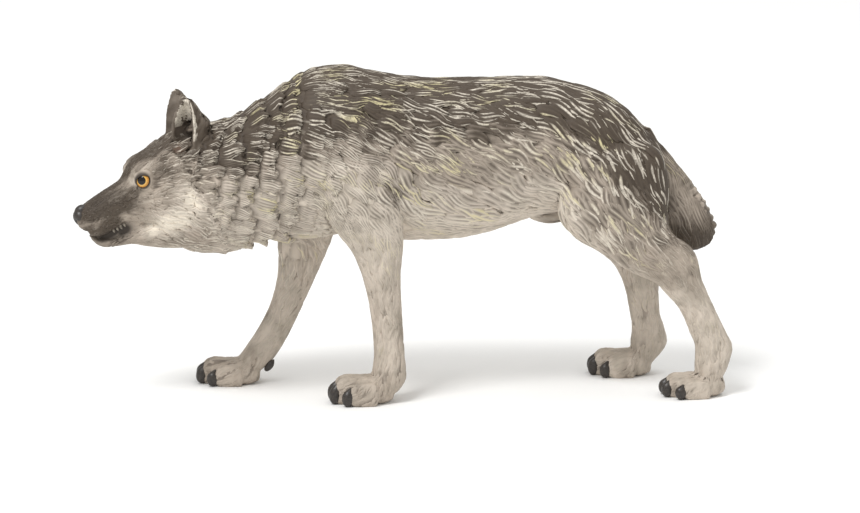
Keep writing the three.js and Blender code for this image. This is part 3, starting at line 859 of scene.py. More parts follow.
# x, z, y from the middle plane, degrees from straight back (down is negative), tuft
SIDE_CHART = [
    (-42, 50, 7, -2, NECK), (-42, 38, 8, -10, NECK), (-36, 54, 5, 2, CREST), (-36, 44, 11, -6, NECK),
    (-34, 32, 6, -12, NECK), (-28, 57, 6, -3, CREST), (-28, 46, 12, -8, NECK), (-26, 35, 9, -12, NECK),
    (-20, 62, 4, -6, CREST), (-20, 54, 10, -12, NECK), (-20, 44, 12, -20, NECK), (-20, 35, 10, -20, NECK),
    (-12, 66, 2, -3, BACK), (-12, 60, 9, -14, CLUMP), (-11, 52, 12, -30, CLUMP), (-10, 44, 13, -52, CLUMP),
    (-2, 64, 4, -8, BACK), (-2, 57, 11, -22, CLUMP), (-1, 48, 12.5, -46, CLUMP), (3, 39, 11, -36, FLANK),
    (9, 63, 4, -6, BACK), (10, 56, 11, -18, BACK), (10, 48, 12.5, -36, FLANK), (10, 38, 11, -26, FLANK),
    (20, 63, 4, -5, BACK), (20, 56, 10, -18, BACK), (20, 48, 11.5, -36, FLANK), (20, 39, 10, -24, FLANK),
    (30, 62, 4, -12, RUMP), (30, 55, 9, -32, RUMP), (31, 47, 10, -50, THIGH), (31, 39, 9, -38, THIGH),
    (38, 59, 5, -32, RUMP), (39, 52, 9, -56, RUMP), (40, 44, 11, -64, THIGH), (41, 36, 11, -58, THIGH),
    (46, 55, 4, -58, RUMP), (47, 48, 8, -70, RUMP), (47, 40, 10.5, -62, THIGH),
    (-10, 32, 1, -4, BELLY), (5, 31, 1, -4, BELLY), (20, 34, 1, 4, BELLY), (30, 35, 1, 4, BELLY),
]
# the same in the head's own axes: forward, height, y, degrees, tuft
HEAD_CHART = [
    (13, 0, 2.8, 0, MUZZLE), (13, 2, 0.5, 0, MUZZLE), (9, 2.6, 1, 4, MUZZLE), (8, 0, 3.5, -4, MUZZLE),
    (9, -3.5, 3, -14, MUZZLE), (12, -7, 2, 4, MUZZLE), (8, -9, 2.5, -10, FACE), (4, 3.6, 1.5, 16, FACE),
    (3, 0, 5, -14, FACE), (4, -4, 5, -24, FACE), (0, 5.4, 1.5, 14, FACE), (0, 4.6, 5, 24, FACE),
    (-1, -1, 7, -16, FACE), (0, -6, 7, -34, CHEEK), (-2, -11, 6, -34, CHEEK), (-5, 6.3, 2, 6, FACE),
    (-4.5, 3, 7.5, 6, FACE), (-5, -2, 9, -18, CHEEK), (-5, -7, 9, -42, CHEEK), (-6, -12, 6, -34, CHEEK),
    (-9, 2, 9, -10, CHEEK), (-9, -5, 9, -34, CHEEK),
    (-7.5, -8, 9, -38, CHEEK), (-7.5, -5, 9, -34, CHEEK), (-7.5, -2, 9, -22, CHEEK),
    (-7.5, 1, 8.5, -10, CHEEK),
]
EAR_CHART = [(-43, 54.5, 5.2), (-42, 57, 5.6), (-43.5, 60, 6.0)]  # hair runs up the ears here
# how far a row of the chart reaches, in millimetres
REACH = {"side": 5.0, "head": 2.6, "ear": 1.8, "leg": 3.6, "paw": 3.0, "tail": 4.0}


def chart_rows():
    """Each row as x, y, z, the way (3), the tuft's six numbers, and reach."""
    rows = []
    for side in SIDES.values():
        for x, z, y, angle, tuft in SIDE_CHART:
            a = math.radians(angle)
            rows.append([x, side * y, z, math.cos(a), 0, math.sin(a), *tuft, REACH["side"]])
        for f, h, y, angle, tuft in HEAD_CHART:
            a = math.radians(angle)
            ends = np.array([[f, f - math.cos(a)], [h, h + math.sin(a)]])
            here, there = head_points(*ends, side * y)
            rows.append([*here, *(there - here), *tuft, REACH["head"]])
        for x, z, y in EAR_CHART:
            here = turned_up(np.array([[x, side * y, z]]), YAW, (HEAD_PIVOT, 0))[0]
            rows.append([*here, 0.1, 0, 1, *EAR, REACH["ear"]])
    for name, ribs in LEGS.items():
        rows += rows_along(ribs, side_of(name), "leg", lambda z: LEG if z > 8 else PAW, first=2)
        x, y, _ = paw_place(name)
        rows.append([x - 3, y, 2, -0.9, 0, -0.3, *PAW, REACH["paw"]])
    return np.array(rows + rows_along(TAIL, 1, "tail", lambda z: HANG, first=1))


def rows_along(ribs, side, limb, tuft_at, first):
    """Chart rows down the middle line of a limb, each pointing at the next rib's middle."""
    ribs = np.array(ribs)
    middle = np.stack([(ribs[:, 0] + ribs[:, 2]) / 2, ribs[:, 4] * side, (ribs[:, 1] + ribs[:, 3]) / 2], 1)
    ways = unit(np.diff(middle, axis=0))
    return [[*middle[i], *ways[i], *tuft_at(middle[i, 2]), REACH[limb]]
            for i in range(first, len(ways))]


CHART = chart_rows()
AT_ONCE = 20000  # points compared with the chart at a time, to save memory


def combed(points, normals):
    """The way of the coat, laid flat on the surface, and the tuft's six numbers: the mean of the
    chart's rows, weighted by exp(-distance^2 / 2 reach^2)."""
    read = np.empty((len(points), 9))
    for start in range(0, len(points), AT_ONCE):
        part = slice(start, start + AT_ONCE)
        away = points[part, None] - CHART[None, :, :3]
        distance = np.einsum("nij,nij->ni", away, away) / (2 * CHART[:, -1] ** 2)
        weight = np.exp(distance.min(1, keepdims=True) - distance)
        read[part] = (weight @ CHART[:, 3:-1]) / weight.sum(1, keepdims=True)
    way = read[:, :3] - np.einsum("ni,ni->n", read[:, :3], normals)[:, None] * normals
    return unit(way), read[:, 3:]


print("chart of", len(CHART), "rows")

# %% [markdown]
# ## Relief carved into the skin
# Relief is carved by moving the skin's points along their normals, as a tool presses into wax.
# The ruff is a stack of shaggy bands round the neck: each band rises slowly towards the rear and
# drops at a scalloped edge. The comb marks are random grain, averaged along the lie of the coat
# until only streaks are left, which is how a rake pulled through wax looks. The face has sockets
# for the eyes and a step behind the cheeks, the skull sinks under the ears' cups, and the tail's
# rear edge is scalloped.

# %% Bands of the ruff
RUFF_ROWS, RUFF_RISE = 7.0, 1.25  # how many bands, and their height in millimetres
NECK_AXIS = 44.0  # the height of the line that the bands run round


def torso_place(points):
    """How far along the torso's ribs a point lies, in ribs: each rib's line is read at the
    point's height, and the gaps that the point has passed are added up."""
    ribs = np.array(TORSO)
    up = (points[:, 2:3] - ribs[:, 1]) / (ribs[:, 3] - ribs[:, 1])
    lines = ribs[:, 0] + up * (ribs[:, 2] - ribs[:, 0])
    gaps = np.diff(lines, axis=1)
    return np.clip((points[:, :1] - lines[:, :-1]) / gaps, 0, 1).sum(1)


def turn_round_neck(points):
    """The angle round the neck's axis, in radians from straight out on the wolf's right."""
    return np.arctan2(points[:, 2] - NECK_AXIS, points[:, 1])


def lobe_place(points, row):
    """The angle round the neck in lobes, 26 to 34 of them in a row and shifted from row to row:
    each lobe's middle is a whole number."""
    turn = turn_round_neck(points) / (2 * np.pi)
    lobes = 2 * (15 + np.round(2 * np.sin(2.1 * row)))
    wander = 0.12 * np.sin(9 * turn * 2 * np.pi + 2.3 * row)
    return lobes * turn + 0.37 * row * row + wander


def bulge(points, row):
    """How far a lobe's edge stands back, |cos|^0.7: 1 at its middle and 0 at its sides."""
    return np.abs(np.cos(np.pi * lobe_place(points, row))) ** 0.7


def edge_of(points, row):
    """The place of a row's edge: the row's own number, moved by its lobes and two slow waves."""
    turn = turn_round_neck(points)
    slow = 0.20 * np.sin(3 * turn + 1.9 * row) + 0.15 * np.sin(8 * turn + 4.1 * row * row)
    return row + slow + 0.32 * (bulge(points, row) - 0.62)


def bands(points):
    """The band that each point is in, the point's own place along the torso, and the places where
    its band starts and ends."""
    place = torso_place(points)
    base = np.floor(place)
    edges = [edge_of(points, base + k) for k in (-1, 0, 1, 2)]
    step = (place >= edges[1]).astype(int) + (place >= edges[2])
    return base + step, place, np.choose(step, edges[:3]), np.choose(step, edges[1:])


def ruff(points):
    """Height of the shaggy bands, how far back in its band each point lies (0 to 1), and how much
    of a ruff there is. The height is back^1.25 up to a step at the band's end, is twice as much at
    a lobe's middle as between lobes, and is lower along the crest."""
    band, place, start, end = bands(points)
    back = np.clip((place - start) / (end - start), 0, 1)
    shape = back ** 1.25 * (1 - smoothstep(back, 0.86, 1.0)) * (0.5 + 0.5 * bulge(points, band))
    f, _, _ = in_head(points)
    fade = smoothstep(place, 0.4, 1.0) * (1 - smoothstep(place, RUFF_ROWS - 1.6, RUFF_ROWS + 0.2))
    fade = fade * smoothstep(points[:, 2], 23.0, 28.5) * smoothstep(-f, 7.0, 9.0)
    crest = np.arctan2(points[:, 2] - NECK_AXIS, np.abs(points[:, 1])) / (np.pi / 2)
    shape = shape * (1 - 0.55 * smoothstep(crest, 0.6, 0.95))
    return RUFF_RISE * shape * fade, np.where(fade > 0.05, back, 0.5), fade


# %% Comb marks


def comb_marks(points, edges, way, seed=5):
    """Grain smoothed a little, then averaged with the grain one stride ahead and one behind along
    the lie of the coat, first in short strides and then in long ones. The result has a mean of 0
    and a spread of 1."""
    grain = np.random.default_rng(seed).standard_normal((len(points), 1))
    for _ in range(2):
        grain = spread(grain, edges, 0.8)
    tree = KDTree(len(points))
    for i, point in enumerate(points):
        tree.insert(point, i)
    tree.balance()
    for stride, turns in ((0.4, 3), (0.9, 3)):
        ahead = np.array([tree.find(p)[1] for p in points + way * stride])
        behind = np.array([tree.find(p)[1] for p in points - way * stride])
        for _ in range(turns):
            grain = (grain + grain[ahead] + grain[behind]) / 3
    grain = spread(grain, edges, 0.5)
    return (grain[:, 0] - grain.mean()) / grain.std()


CHEEK_BACK, TOOTH = 8.4, 4.4  # how far behind the eyes the cheek ends, and its teeth's spacing


def behind_cheek(points):
    """How far behind the cheek's ragged edge each point lies, and how much of an edge there is.
    The edge is a row of teeth |cos| down a shallow parabola."""
    f, h, y = in_head(points)
    ragged = 1.1 * np.abs(np.cos(np.pi * (h + 1.2) / TOOTH)) - 0.5
    behind = -f - CHEEK_BACK - ragged + 0.02 * (h + 4) ** 2
    return behind, smoothstep(np.abs(y), 3.0, 6.0) * (1 - smoothstep(np.abs(h + 4), 8.0, 11.0))


def step_of_cheek(points):
    """A cheek that rises by 1 mm towards the rear and drops at its ragged edge."""
    behind, share = behind_cheek(points)
    return smoothstep(behind, -7.0, -0.5) * (1 - smoothstep(behind, -0.25, 0.2)) * share


def eye_frames():
    """For each eye: its middle, and the unit vectors forward, up and outwards in the figure."""
    frames = {}
    for hand, side in SIDES.items():
        f, h, y = EYE_AT
        middle = head_points(np.array([f]), np.array([h]), side * y)[0]
        aim = np.add(EYE_AT, EYE_OUT)
        out = head_points(aim[:1], aim[1:2], side * aim[2])[0] - middle
        ahead = head_points(np.array([f + 1.0]), np.array([h]), side * y)[0] - middle
        out = unit(out)
        ahead = unit(ahead - (ahead @ out) * out)
        up = np.cross(out, ahead) * side
        frames[hand] = (middle, ahead, unit(up), out)
    return frames


EYES = eye_frames()


def eye_sockets(points):
    """A pit round the middle of each eye, that the eyeball fills."""
    pit = np.zeros(len(points))
    for middle, ahead, up, out in EYES.values():
        away = points - middle
        across = np.hypot(away @ ahead, (away @ up) * 1.1)
        pit -= SOCKET_DEPTH * (1 - smoothstep(across, 0.9, 1.75)) * (away @ out > -1.5)
    return pit


def ear_pits(points):
    """The skull sinks by up to 2.2 mm under each ear's cup, so that the cup runs down into it."""
    into, across, up, _ = in_ear(points)
    low = np.exp(-((up - 0.04) / 0.28) ** 2) * (1 - smoothstep(np.abs(across), 0.3, 0.85))
    return -2.2 * low * (into > -1.2) * (into < 4.0)


TAIL_LEAN, TAIL_TOP = 0.35, 50  # the tail runs this far back for each millimetre down from here
TAIL_REAR = [0.94, 0, 0.35]  # the way that its rear edge faces
SCALLOP = 1.7  # from one to the next


def tail_place(x, z):
    """How far back a point would be if the tail hung straight down from its top."""
    return x - TAIL_LEAN * (TAIL_TOP - z)


def tail_scallops(points, normals):
    """Small scallops, 0.6 mm high, on the tail's rear edge: |cos| of the distance down it."""
    x, z = points[:, 0], points[:, 2]
    down_the_tail = TAIL_REAR[2] * x - TAIL_REAR[0] * z
    on_tail = smoothstep(tail_place(x, z), 52.0, 54.0) * smoothstep(z, 27.0, 29.0) * (z < 49)
    rearwards = normals[:, 0] * TAIL_REAR[0] + normals[:, 2] * TAIL_REAR[2]
    facing = smoothstep(rearwards, 0.45, 0.8)
    return 0.6 * (np.abs(np.cos(np.pi * down_the_tail / SCALLOP)) - 0.4) * on_tail * facing


# %% Carve the skin


def carved(points, edges, mesh):
    """The points moved along their normals by the sum of all the reliefs, none of them below the
    floor, and the comb marks."""
    put_points(mesh, points)
    normals = normals_of(mesh)
    way, tuft = combed(points, normals)
    marks = comb_marks(points, edges, way)
    rise, _, _ = ruff(points)
    depth = np.clip(tuft[:, HEIGHT] * 0.3, 0.02, 0.09) * (1 - 0.4 * fine_places(points))
    relief = rise + np.clip(marks, -2, 2) * depth + step_of_cheek(points)
    relief = relief + eye_sockets(points) + ear_pits(points) + tail_scallops(points, normals)
    points = points + normals * relief[:, None]
    points[:, 2] = np.maximum(points[:, 2], 0.02)
    return points, marks


def put_points(mesh, points):
    """Moves the mesh's points, given in millimetres."""
    mesh.vertices.foreach_set("co", (points * MM).astype(np.float32).ravel())
    mesh.update()


def triangle_rows(mesh):
    """The corners of each triangle, quads being cut in two."""
    mesh.calc_loop_triangles()
    return numbers_in(mesh.loop_triangles, "vertices", 3, np.int32)


put_points(melted, skin_points)
form_corners, form_normals = triangle_rows(melted), normals_of(melted)
form = BVHTree.FromPolygons(skin_points.tolist(), form_corners.tolist())
skin_points, marks = carved(skin_points, skin_edges, melted)
put_points(melted, skin_points)
write_mask(melted, "marks", marks)
print("carved relief over", len(skin_points), "points")

# %% [markdown]
# ## Fewer triangles where the skin is plain
# The carved skin is denser than it needs to be over the broad trunk. A decimating modifier merges
# short edges there, and a vertex group shields the head and paws, whose forms are small.

# %% Thin the skin out
SKIN_TRIANGLES = 190000


def thinned(mesh, target):
    """An object of the mesh, with about as many triangles as the target."""
    piece = add_object("skin", mesh)
    group = piece.vertex_groups.new(name="plain")
    plain = 1 - fine_places(points_of(mesh))
    group.add(np.flatnonzero(plain > 0.5).tolist(), 1.0, "REPLACE")
    decimate = piece.modifiers.new("thin", "DECIMATE")
    decimate.ratio = target / triangles_in(mesh)
    decimate.vertex_group = "plain"
    decimate.vertex_group_factor = 1.0
    decimate.use_collapse_triangulate = True
    graph = bpy.context.evaluated_depsgraph_get()
    made = bpy.data.meshes.new_from_object(piece.evaluated_get(graph))
    piece.modifiers.clear()
    piece.vertex_groups.clear()
    piece.data = made
    made.name = "skin"
    made.shade_smooth()
    return piece


skin = thinned(melted, SKIN_TRIANGLES)
print("skin", triangles_in(skin.data), "triangles")

# %% Unwrap the skin by its own shape


def unwrapped(piece, name="OFBake"):
    """Islands of faces that look the same way, laid side by side in the unit square."""
    piece.data.uv_layers.new(name=name)
    bpy.ops.object.select_all(action="DESELECT")
    bpy.context.view_layer.objects.active = piece
    piece.select_set(True)
    bpy.ops.object.mode_set(mode="EDIT")
    bpy.ops.mesh.select_all(action="SELECT")
    bpy.ops.uv.smart_project(angle_limit=math.radians(70), island_margin=0.002)
    bpy.ops.object.mode_set(mode="OBJECT")


unwrapped(skin)
skin_uv = numbers_in(skin.data.uv_layers["OFBake"].data, "uv", 2)
print("unwrap spans", skin_uv.min(0), skin_uv.max(0))

# %% [markdown]
# ## Markings
# The paint was laid in layers, and each layer is worked out here as a number for any point, 0 for none of
# it and 1 for a full coat, so that skin and tufts carry the same markings: the dark back, the pale
# underside and legs, yellow streaks, black lips, and a reddish spot below each ear, with painted shade
# behind the elbows and on the sheath. The materials only read them.

# %% Where each paint goes
# the height of the dark back's lower edge along the body, and the heights where the pale starts
EDGE_X = [-48, -40, -30, -20, -10, 0, 10, 20, 30, 40, 50, 60]
DARK_EDGE = [50, 48.5, 50, 53, 55, 54.5, 54, 54.5, 53, 46, 36, 29]
PALE_EDGE = [36, 42, 47, 50, 50, 47, 43, 45, 47, 31, 25, 24]
HEAD_REAR = -38  # behind this X nothing takes the head's own paint
# soft ovals on the face in the head's axes: forward, height, two radii, strength
FACE_DARK = [
    (12, 2.0, 6, 3.6, 1.3), (7, -0.5, 5, 3.0, 1.05), (11, -4, 3.5, 1.6, 1.0), (3, 4.5, 3.0, 2.0, 1.0),
    (-2, 6.5, 6, 2.2, 1.1), (-4, 2.2, 3.4, 2.2, 0.7), (-1.5, 1.0, 1.2, 1.0, 0.8), (-8, 7, 4, 3.5, 0.9),
    (11.5, -7.5, 4.0, 2.0, 0.55), (3.0, 1.0, 2.0, 1.2, 0.75), (14, -2.5, 2.2, 1.8, 0.95),
    (10.5, -3.0, 4.5, 1.6, 1.1), (-5, 4.2, 3.2, 1.6, 0.7),
]
FACE_PALE = [
    (1.4, 3.9, 1.2, 0.9, 0.55), (2.2, 2.8, 0.8, 1.0, 0.9), (-1.4, 4.4, 2.2, 0.7, 0.5),
    (-1.5, -7.2, 5.5, 3, 1.9), (-6.5, -4.5, 3.4, 3, 1.8), (2.6, -7.6, 2.6, 1.8, 1.6),
    (-9, -1.8, 1.8, 2.2, 1.0), (0, -1.5, 2.8, 1.8, 0.25), (6.6, -3.2, 0.9, 1.2, 0.4),
]
LIPS = [(10.6, -5.2, 2.6, 0.9, 1.6), (7.9, -5.6, 1.6, 1.2, 1.6)]
BLACK_WASH = [(10, 2.2, 6, 3.2, 0.45), (-2, 7, 6, 2, 0.3)]
RUST_SPOT = [(-8.3, 4.7, 0.9, 0.5, 1.0)]
# the same along the body and up
YELLOW_STREAKS = [(10, 48, 5, 2.2, 1.0), (29, 49, 3, 3, 1.0), (-9, 58, 3, 2, 1.0)]


def spots(u, v, rows):
    """The largest of several soft ovals: strength * exp(-(du/ru)^2 - (dv/rv)^2)."""
    best = np.zeros(len(u))
    for cu, cv, ru, rv, strength in rows:
        best = np.maximum(best, strength * np.exp(-((u - cu) / ru) ** 2 - ((v - cv) / rv) ** 2))
    return best


def wavy(points, size, seed):
    """Smooth noise made of seven sine waves in random directions, mostly between -1 and 1."""
    waves = np.random.default_rng(seed)
    total = np.zeros(len(points))
    for _ in range(7):
        way = waves.standard_normal(3)
        total += np.sin(points @ way / size * 2.2 + waves.uniform(0, 6.28))
    return total / 4.5


def ear_share(points):
    """1 on the ears and 0 elsewhere."""
    into, across, up, _ = in_ear(points)
    ears = smoothstep(up, -0.3, -0.05) * (1 - smoothstep(np.abs(across), 1.1, 1.4)) * (points[:, 0] < -34)
    return ears * smoothstep(into, -2.5, -1.0) * (1 - smoothstep(into, 7.0, 8.5))


def body_paint(points):
    """The dark back and the pale underside, each with a wavy edge, and painted shade in the hollow behind
    the elbow. Pale is mottled on the legs, and less of it lies on the paws and low on the neck."""
    x, _, z = points.T
    ripple = 2.2 * wavy(points * [1, 1, 0.6], 3.0, 3) + 1.0 * wavy(points, 1.3, 4)
    soft = 4.5 + 3.5 * smoothstep(x, 22, 34)
    dark = smoothstep((z + ripple - np.interp(x, EDGE_X, DARK_EDGE)) / soft, -1.0, 1.0)
    # painted shade in the hollow behind each elbow, added to the dark coat
    dark = np.maximum(dark, 0.55 * np.exp(-((x + 2) / 4) ** 2 - ((z - 43) / 4) ** 2))
    pale = 1 - smoothstep(z + ripple - np.interp(x, EDGE_X, PALE_EDGE), -6.0, 6.0)
    low = 1 - smoothstep(z, 24, 32)
    mottled = smoothstep(wavy(points * [1, 1, 0.3], 1.4, 12), -0.1, 0.9)
    pale = pale - 0.3 * low * mottled - 0.35 * low * (1 - 0.6 * smoothstep(x, 20, 30))
    pale = pale - 0.2 * (1 - smoothstep(z, 4, 9))
    neck = smoothstep(-x, 14, 22) * (1 - low)
    return dark, pale - neck * (0.35 - 0.3 * smoothstep(z, 34, 42))


def tail_paint(points, dark, pale):
    """The tail and the hair at its root have no pale paint, and darken towards the tip. The sheath under
    the belly takes half the dark paint as painted shade, and no pale."""
    x, y, z = points.T
    back = tail_place(x, z)
    tail = smoothstep(back, 51.5, 53.0) * (z > 27)
    near_root = smoothstep(back, 47.5, 49.0) * (1 - smoothstep(np.abs(y), 3.2, 4.2))
    tail = np.maximum(tail, near_root * smoothstep(z, 27, 28) * (1 - smoothstep(z, 46, 50)))
    dark = dark * (1 - tail) + tail * (0.3 + 0.56 * smoothstep(37 - z, 0, 8))
    # painted shade on the sheath, which sits in shade under the belly
    sheath = np.exp(-((x - SHEATH_X) / 4.0) ** 2 - (y / 2.4) ** 2) * (z < 37)
    return np.maximum(dark, 0.6 * sheath), pale * (1 - tail) * (1 - sheath)


def face_paint(points, head, dark, pale):
    """The ovals of the face, and a dark line along the top of the muzzle and skull. Pale ones lie
    on the sides only, and over the dark."""
    f, h, side = in_head(points)
    side = np.abs(side)
    face_dark = np.maximum(spots(f, h, FACE_DARK), np.exp(-(side / 2.2) ** 2) * (h > 1.0))
    face_pale = spots(f, h, FACE_PALE) * smoothstep(side, 1.6, 3.0)
    face_dark = face_dark * (1 - np.clip(face_pale * 1.2, 0, 1))
    ahead = points[:, 0] < -36
    dark = np.where(ahead, dark * (1 - head) + face_dark * head, dark)
    return dark, np.where(ahead, pale * (1 - head) + face_pale * head, pale)


def black_paint(points):
    """The lips' black edge, and a thin black wash over the top of the muzzle and the brow."""
    f, h, side = in_head(points)
    lips = np.minimum(spots(f, h, LIPS), 1) * (1 - smoothstep(np.abs(side), 3.1, 3.5))
    return np.maximum(lips, spots(f, h, BLACK_WASH) * (points[:, 0] < HEAD_REAR))


def markings(points):
    """Every paint's amount at each point, by the names that the materials read."""
    x, _, z = points.T
    f, h, _ = in_head(points)
    head = smoothstep(f, -9.0, -6.5) * (z < 54) * (x < HEAD_REAR)
    ears = ear_share(points)
    dark, pale = face_paint(points, head, *tail_paint(points, *body_paint(points)))
    rust = 0.5 * spots(f, h, RUST_SPOT) * (x < HEAD_REAR)
    yellow = smoothstep(wavy(points, 4.0, 9), -0.1, 0.9) * (1 - head) * (1 - ears)
    yellow = np.maximum(yellow, spots(x, z, YELLOW_STREAKS))
    return {"dark": dark * (1 - ears) + ears * 0.72, "pale": pale * (1 - ears),
            "black": black_paint(points), "rust": rust, "yellow": yellow}


def mark_mesh(mesh, points, light, wash_and_shade):
    """Writes the markings on a mesh, with the light paint on its ridges and the dark wash and painted shade
    between.
    """
    for name, values in markings(points).items():
        write_mask(mesh, name, values)
    write_mask(mesh, "light", light)
    # the dark wash and painted shade in the hollows
    write_mask(mesh, "wash_and_shade", wash_and_shade)


def beside_ear(across, up, lowest, widest):
    """Whether points are within an ear's height and width, both as shares of the ear's own."""
    return (up > lowest) & (up < 1.2) & (np.abs(across) < widest)


def ear_marks(points):
    """Light paint on the rims and stippled in the upper cup, and painted shade low in the cup."""
    into, across, up, behind = in_ear(points)
    cup = beside_ear(across, up, 0.0, 1.5) & (np.abs(into) < 8) & ~behind
    outer_rim = np.exp(-((across - 0.93) / 0.06) ** 2) * smoothstep(up, 0.02, 0.15)
    inner_rim = 0.35 * np.exp(-((across + 0.93) / 0.07) ** 2)
    stipple = wavy(points * [1, 1, 0.5], 0.33, 31)
    hair = smoothstep(up - 0.3 * across, 0.05, 0.38) * smoothstep(stipple, -1.0, 0.0)
    light = np.maximum(np.maximum(outer_rim, inner_rim), 0.9 * hair * (np.abs(across) < 0.75))
    # painted shade low in the cup's hollow
    dark = (1 - smoothstep(np.abs(across), 0.5, 0.8)) * (1 - smoothstep(up, 0.2, 0.5))
    return light * cup, dark * cup * 0.3


def mark_skin(piece):
    """Marks the skin: light on the comb marks' ridges, a dark wash that is partly painted shade in their
    furrows, and painted shade under the edge of each band of the ruff and behind the cheeks."""
    mesh = piece.data
    points, normals = points_of(mesh), normals_of(mesh)
    marks = numbers_in(mesh.attributes["marks"].data, "value")
    _, tuft = combed(points, normals)
    _, back, fade = ruff(points)
    _, across, up, _ = in_ear(points)
    near_ear = beside_ear(across, up, -0.2, 1.5) & (points[:, 0] < -34)
    light = smoothstep(marks, 0.5, 1.8) * tuft[:, LIGHT] * 0.8 * (1 - 0.6 * fade) * (1 - near_ear)
    # dark wash and painted shade in the comb furrows; painted shade under band edges and behind the cheeks
    wash_and_shade = smoothstep(-marks, 0.2, 1.6) * 0.7
    wash_and_shade = np.maximum(wash_and_shade, 0.95 * fade * (1 - smoothstep(back, 0.0, 0.35)))
    behind, share = behind_cheek(points)
    wash_and_shade = np.maximum(wash_and_shade, 0.5 * share * np.exp(-((behind - 0.5) / 0.6) ** 2))
    cup_light, cup_shade = ear_marks(points)
    mark_mesh(mesh, points, np.maximum(light, cup_light), np.maximum(wash_and_shade, cup_shade))
    return points, normals


skin_points, skin_normals = mark_skin(skin)
print("marked the skin")

# %% [markdown]
# ## Painted plastic
# The factory sprays a base colour, airbrushes the pale and dark coats, and drags light paint over the
# ridges. The material does the same in that order, and adds a dark wash that is partly painted shade in the
# furrows, at the tufts' roots and under their tips. Its grain comes from noise in the object's own space,
# so it stays put when the camera moves. Soft plastic under acrylic paint is dull with a faint sheen, so
# roughness stays near 0.6.

# %% The coat's paint
# the fourth colour is the dark wash and painted shade for the hollows
MIDDLE, DARK, PALE, SHADE_WASH = tint("b1a496"), tint("51463a"), tint("d2c6b8"), tint("40362d")
CREAM, YELLOW_CREAM, CHEEK_CREAM = tint("dad1c2"), tint("d6cb97"), tint("f2e7d6")
BLACK, RUST = tint("3a322b"), tint("6e4c38")


def coat_paint():
    """Middle grey, then pale, cream on the cheeks, dark, rust, a dark wash that is partly painted shade in
    the furrows, light paint on the ridges, and black, each over the last by its own mask."""
    finish = Finish("painted_coat", Roughness=0.6, Specular_IOR_Level=0.35)
    cloud = finish.noise(260, 3.0)
    speck = finish.noise(2600, 2.0)
    # the dark wash and painted shade also pull the dark coat in a little
    dark = finish.mask("dark") + (cloud - 0.5) * 0.5 + finish.mask("wash_and_shade") * 0.25
    dark = dark.between(0.12, 0.88)
    pale = (finish.mask("pale") + (cloud - 0.5) * 0.4).between(0.1, 0.95)
    colour = finish.mix(cloud.between(0.35, 0.7), MIDDLE, tint("988d80"))
    colour = finish.mix(pale, colour, finish.mix(cloud.between(0.4, 0.65), PALE, tint("bdb2a4")))
    colour = finish.mix((finish.mask("pale") - 0.9) * 1.4, colour, CHEEK_CREAM)
    colour = finish.mix(dark, colour, finish.mix(speck.between(0.35, 0.7), DARK, tint("554b41")))
    colour = finish.mix(finish.mask("rust"), colour, RUST)
    # dark wash and painted shade: darker in furrows, at tuft roots, under tuft tips and band edges
    colour = finish.mix(finish.mask("wash_and_shade") * (0.85 - pale * 0.2), colour, SHADE_WASH)
    cream = finish.mix(finish.mask("yellow") * 0.8, CREAM, YELLOW_CREAM)
    patchy = finish.noise(700, 2.0).between(0.32, 0.6)
    brushed = finish.mask("light").between(0.3, 0.8) * (speck.between(0.3, 0.58) * 0.4 + 0.6)
    brushed = brushed * (patchy * 0.4 + 0.6)
    colour = finish.mix(brushed, colour, cream)
    colour = finish.mix(finish.mask("black"), colour, BLACK)
    height = speck * 0.6 + finish.noise(7000, 2.0) * 0.4
    return finish.surface(colour, 0.56 + speck * 0.12, height, depth=0.00006, strength=0.6)


painted_coat = coat_paint()
skin.data.materials.clear()
skin.data.materials.append(painted_coat)
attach(skin, "root")
FLESH = ["trunk", "neck", "head", "jaw", "tail"] + ["ear_" + s for s in SIDES]
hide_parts(*FLESH, *["leg_" + n for n in LEGS], *["paw_" + n for n in LEGS])
print("painted the skin")

# %% [markdown]
# ## Eyes
# The eyes are small glossy domes with an amber ring, set in the skin and framed by lids. Each
# eyeball is a sphere whose pole looks where the wolf looks, and each of its points knows how far
# it lies from the line of sight. The material paints pupil, iris and rim by that distance, so
# the ring is exact on a curved ball where a flat picture would smear.

# %% Eyeballs
GAZE = (0.10, 0.24)  # how far the pupils are turned forward and up, as a share of the radius
PUPIL, IRIS = 0.84, 1.36  # radii, measured square to the line of sight
BALL, DEEPER = 1.65, 0.2  # the ball's radius, and how far its middle lies behind the eye's


def dome(hand, radius, rows=40, around=56):
    """A sphere about an eye's middle whose pole is the line of sight."""
    middle, ahead, up, out = EYES[hand]
    sight = unit(out + GAZE[0] * ahead + GAZE[1] * up)
    ahead = unit(ahead - (ahead @ sight) * sight)
    up = np.cross(sight, ahead)
    points, faces = ball([radius] * 3, around=around, rows=rows)
    reach = np.hypot(points[:, 0], points[:, 1]) * np.where(points[:, 2] > 0, 1, 9)
    placed = middle - DEEPER * out + points[:, :1] * ahead + points[:, 1:2] * up + points[:, 2:] * sight
    return placed, faces, reach


def eye_paint():
    """Pupil, mottled amber and a brown rim, by the distance from the line of sight."""
    finish = Finish("amber_eye", Roughness=0.12, Specular_IOR_Level=0.3, Coat_Weight=0.25,
                    Coat_Roughness=0.05)
    reach = finish.mask("reach")
    fibres = finish.noise(5200, 2.0)
    amber = finish.mix(fibres.between(0.35, 0.65), tint("d69a42"), tint("b67428"))
    amber = finish.mix(reach.between(PUPIL + 0.1, IRIS - 0.1), tint("e2b25c"), amber)
    colour = finish.mix(reach.between(PUPIL - 0.03, PUPIL + 0.05), tint("120c09"), amber)
    colour = finish.mix(reach.between(IRIS - 0.06, IRIS + 0.04), colour, tint("4a3826"))
    return finish.surface(colour, 0.1 + fibres * 0.06)


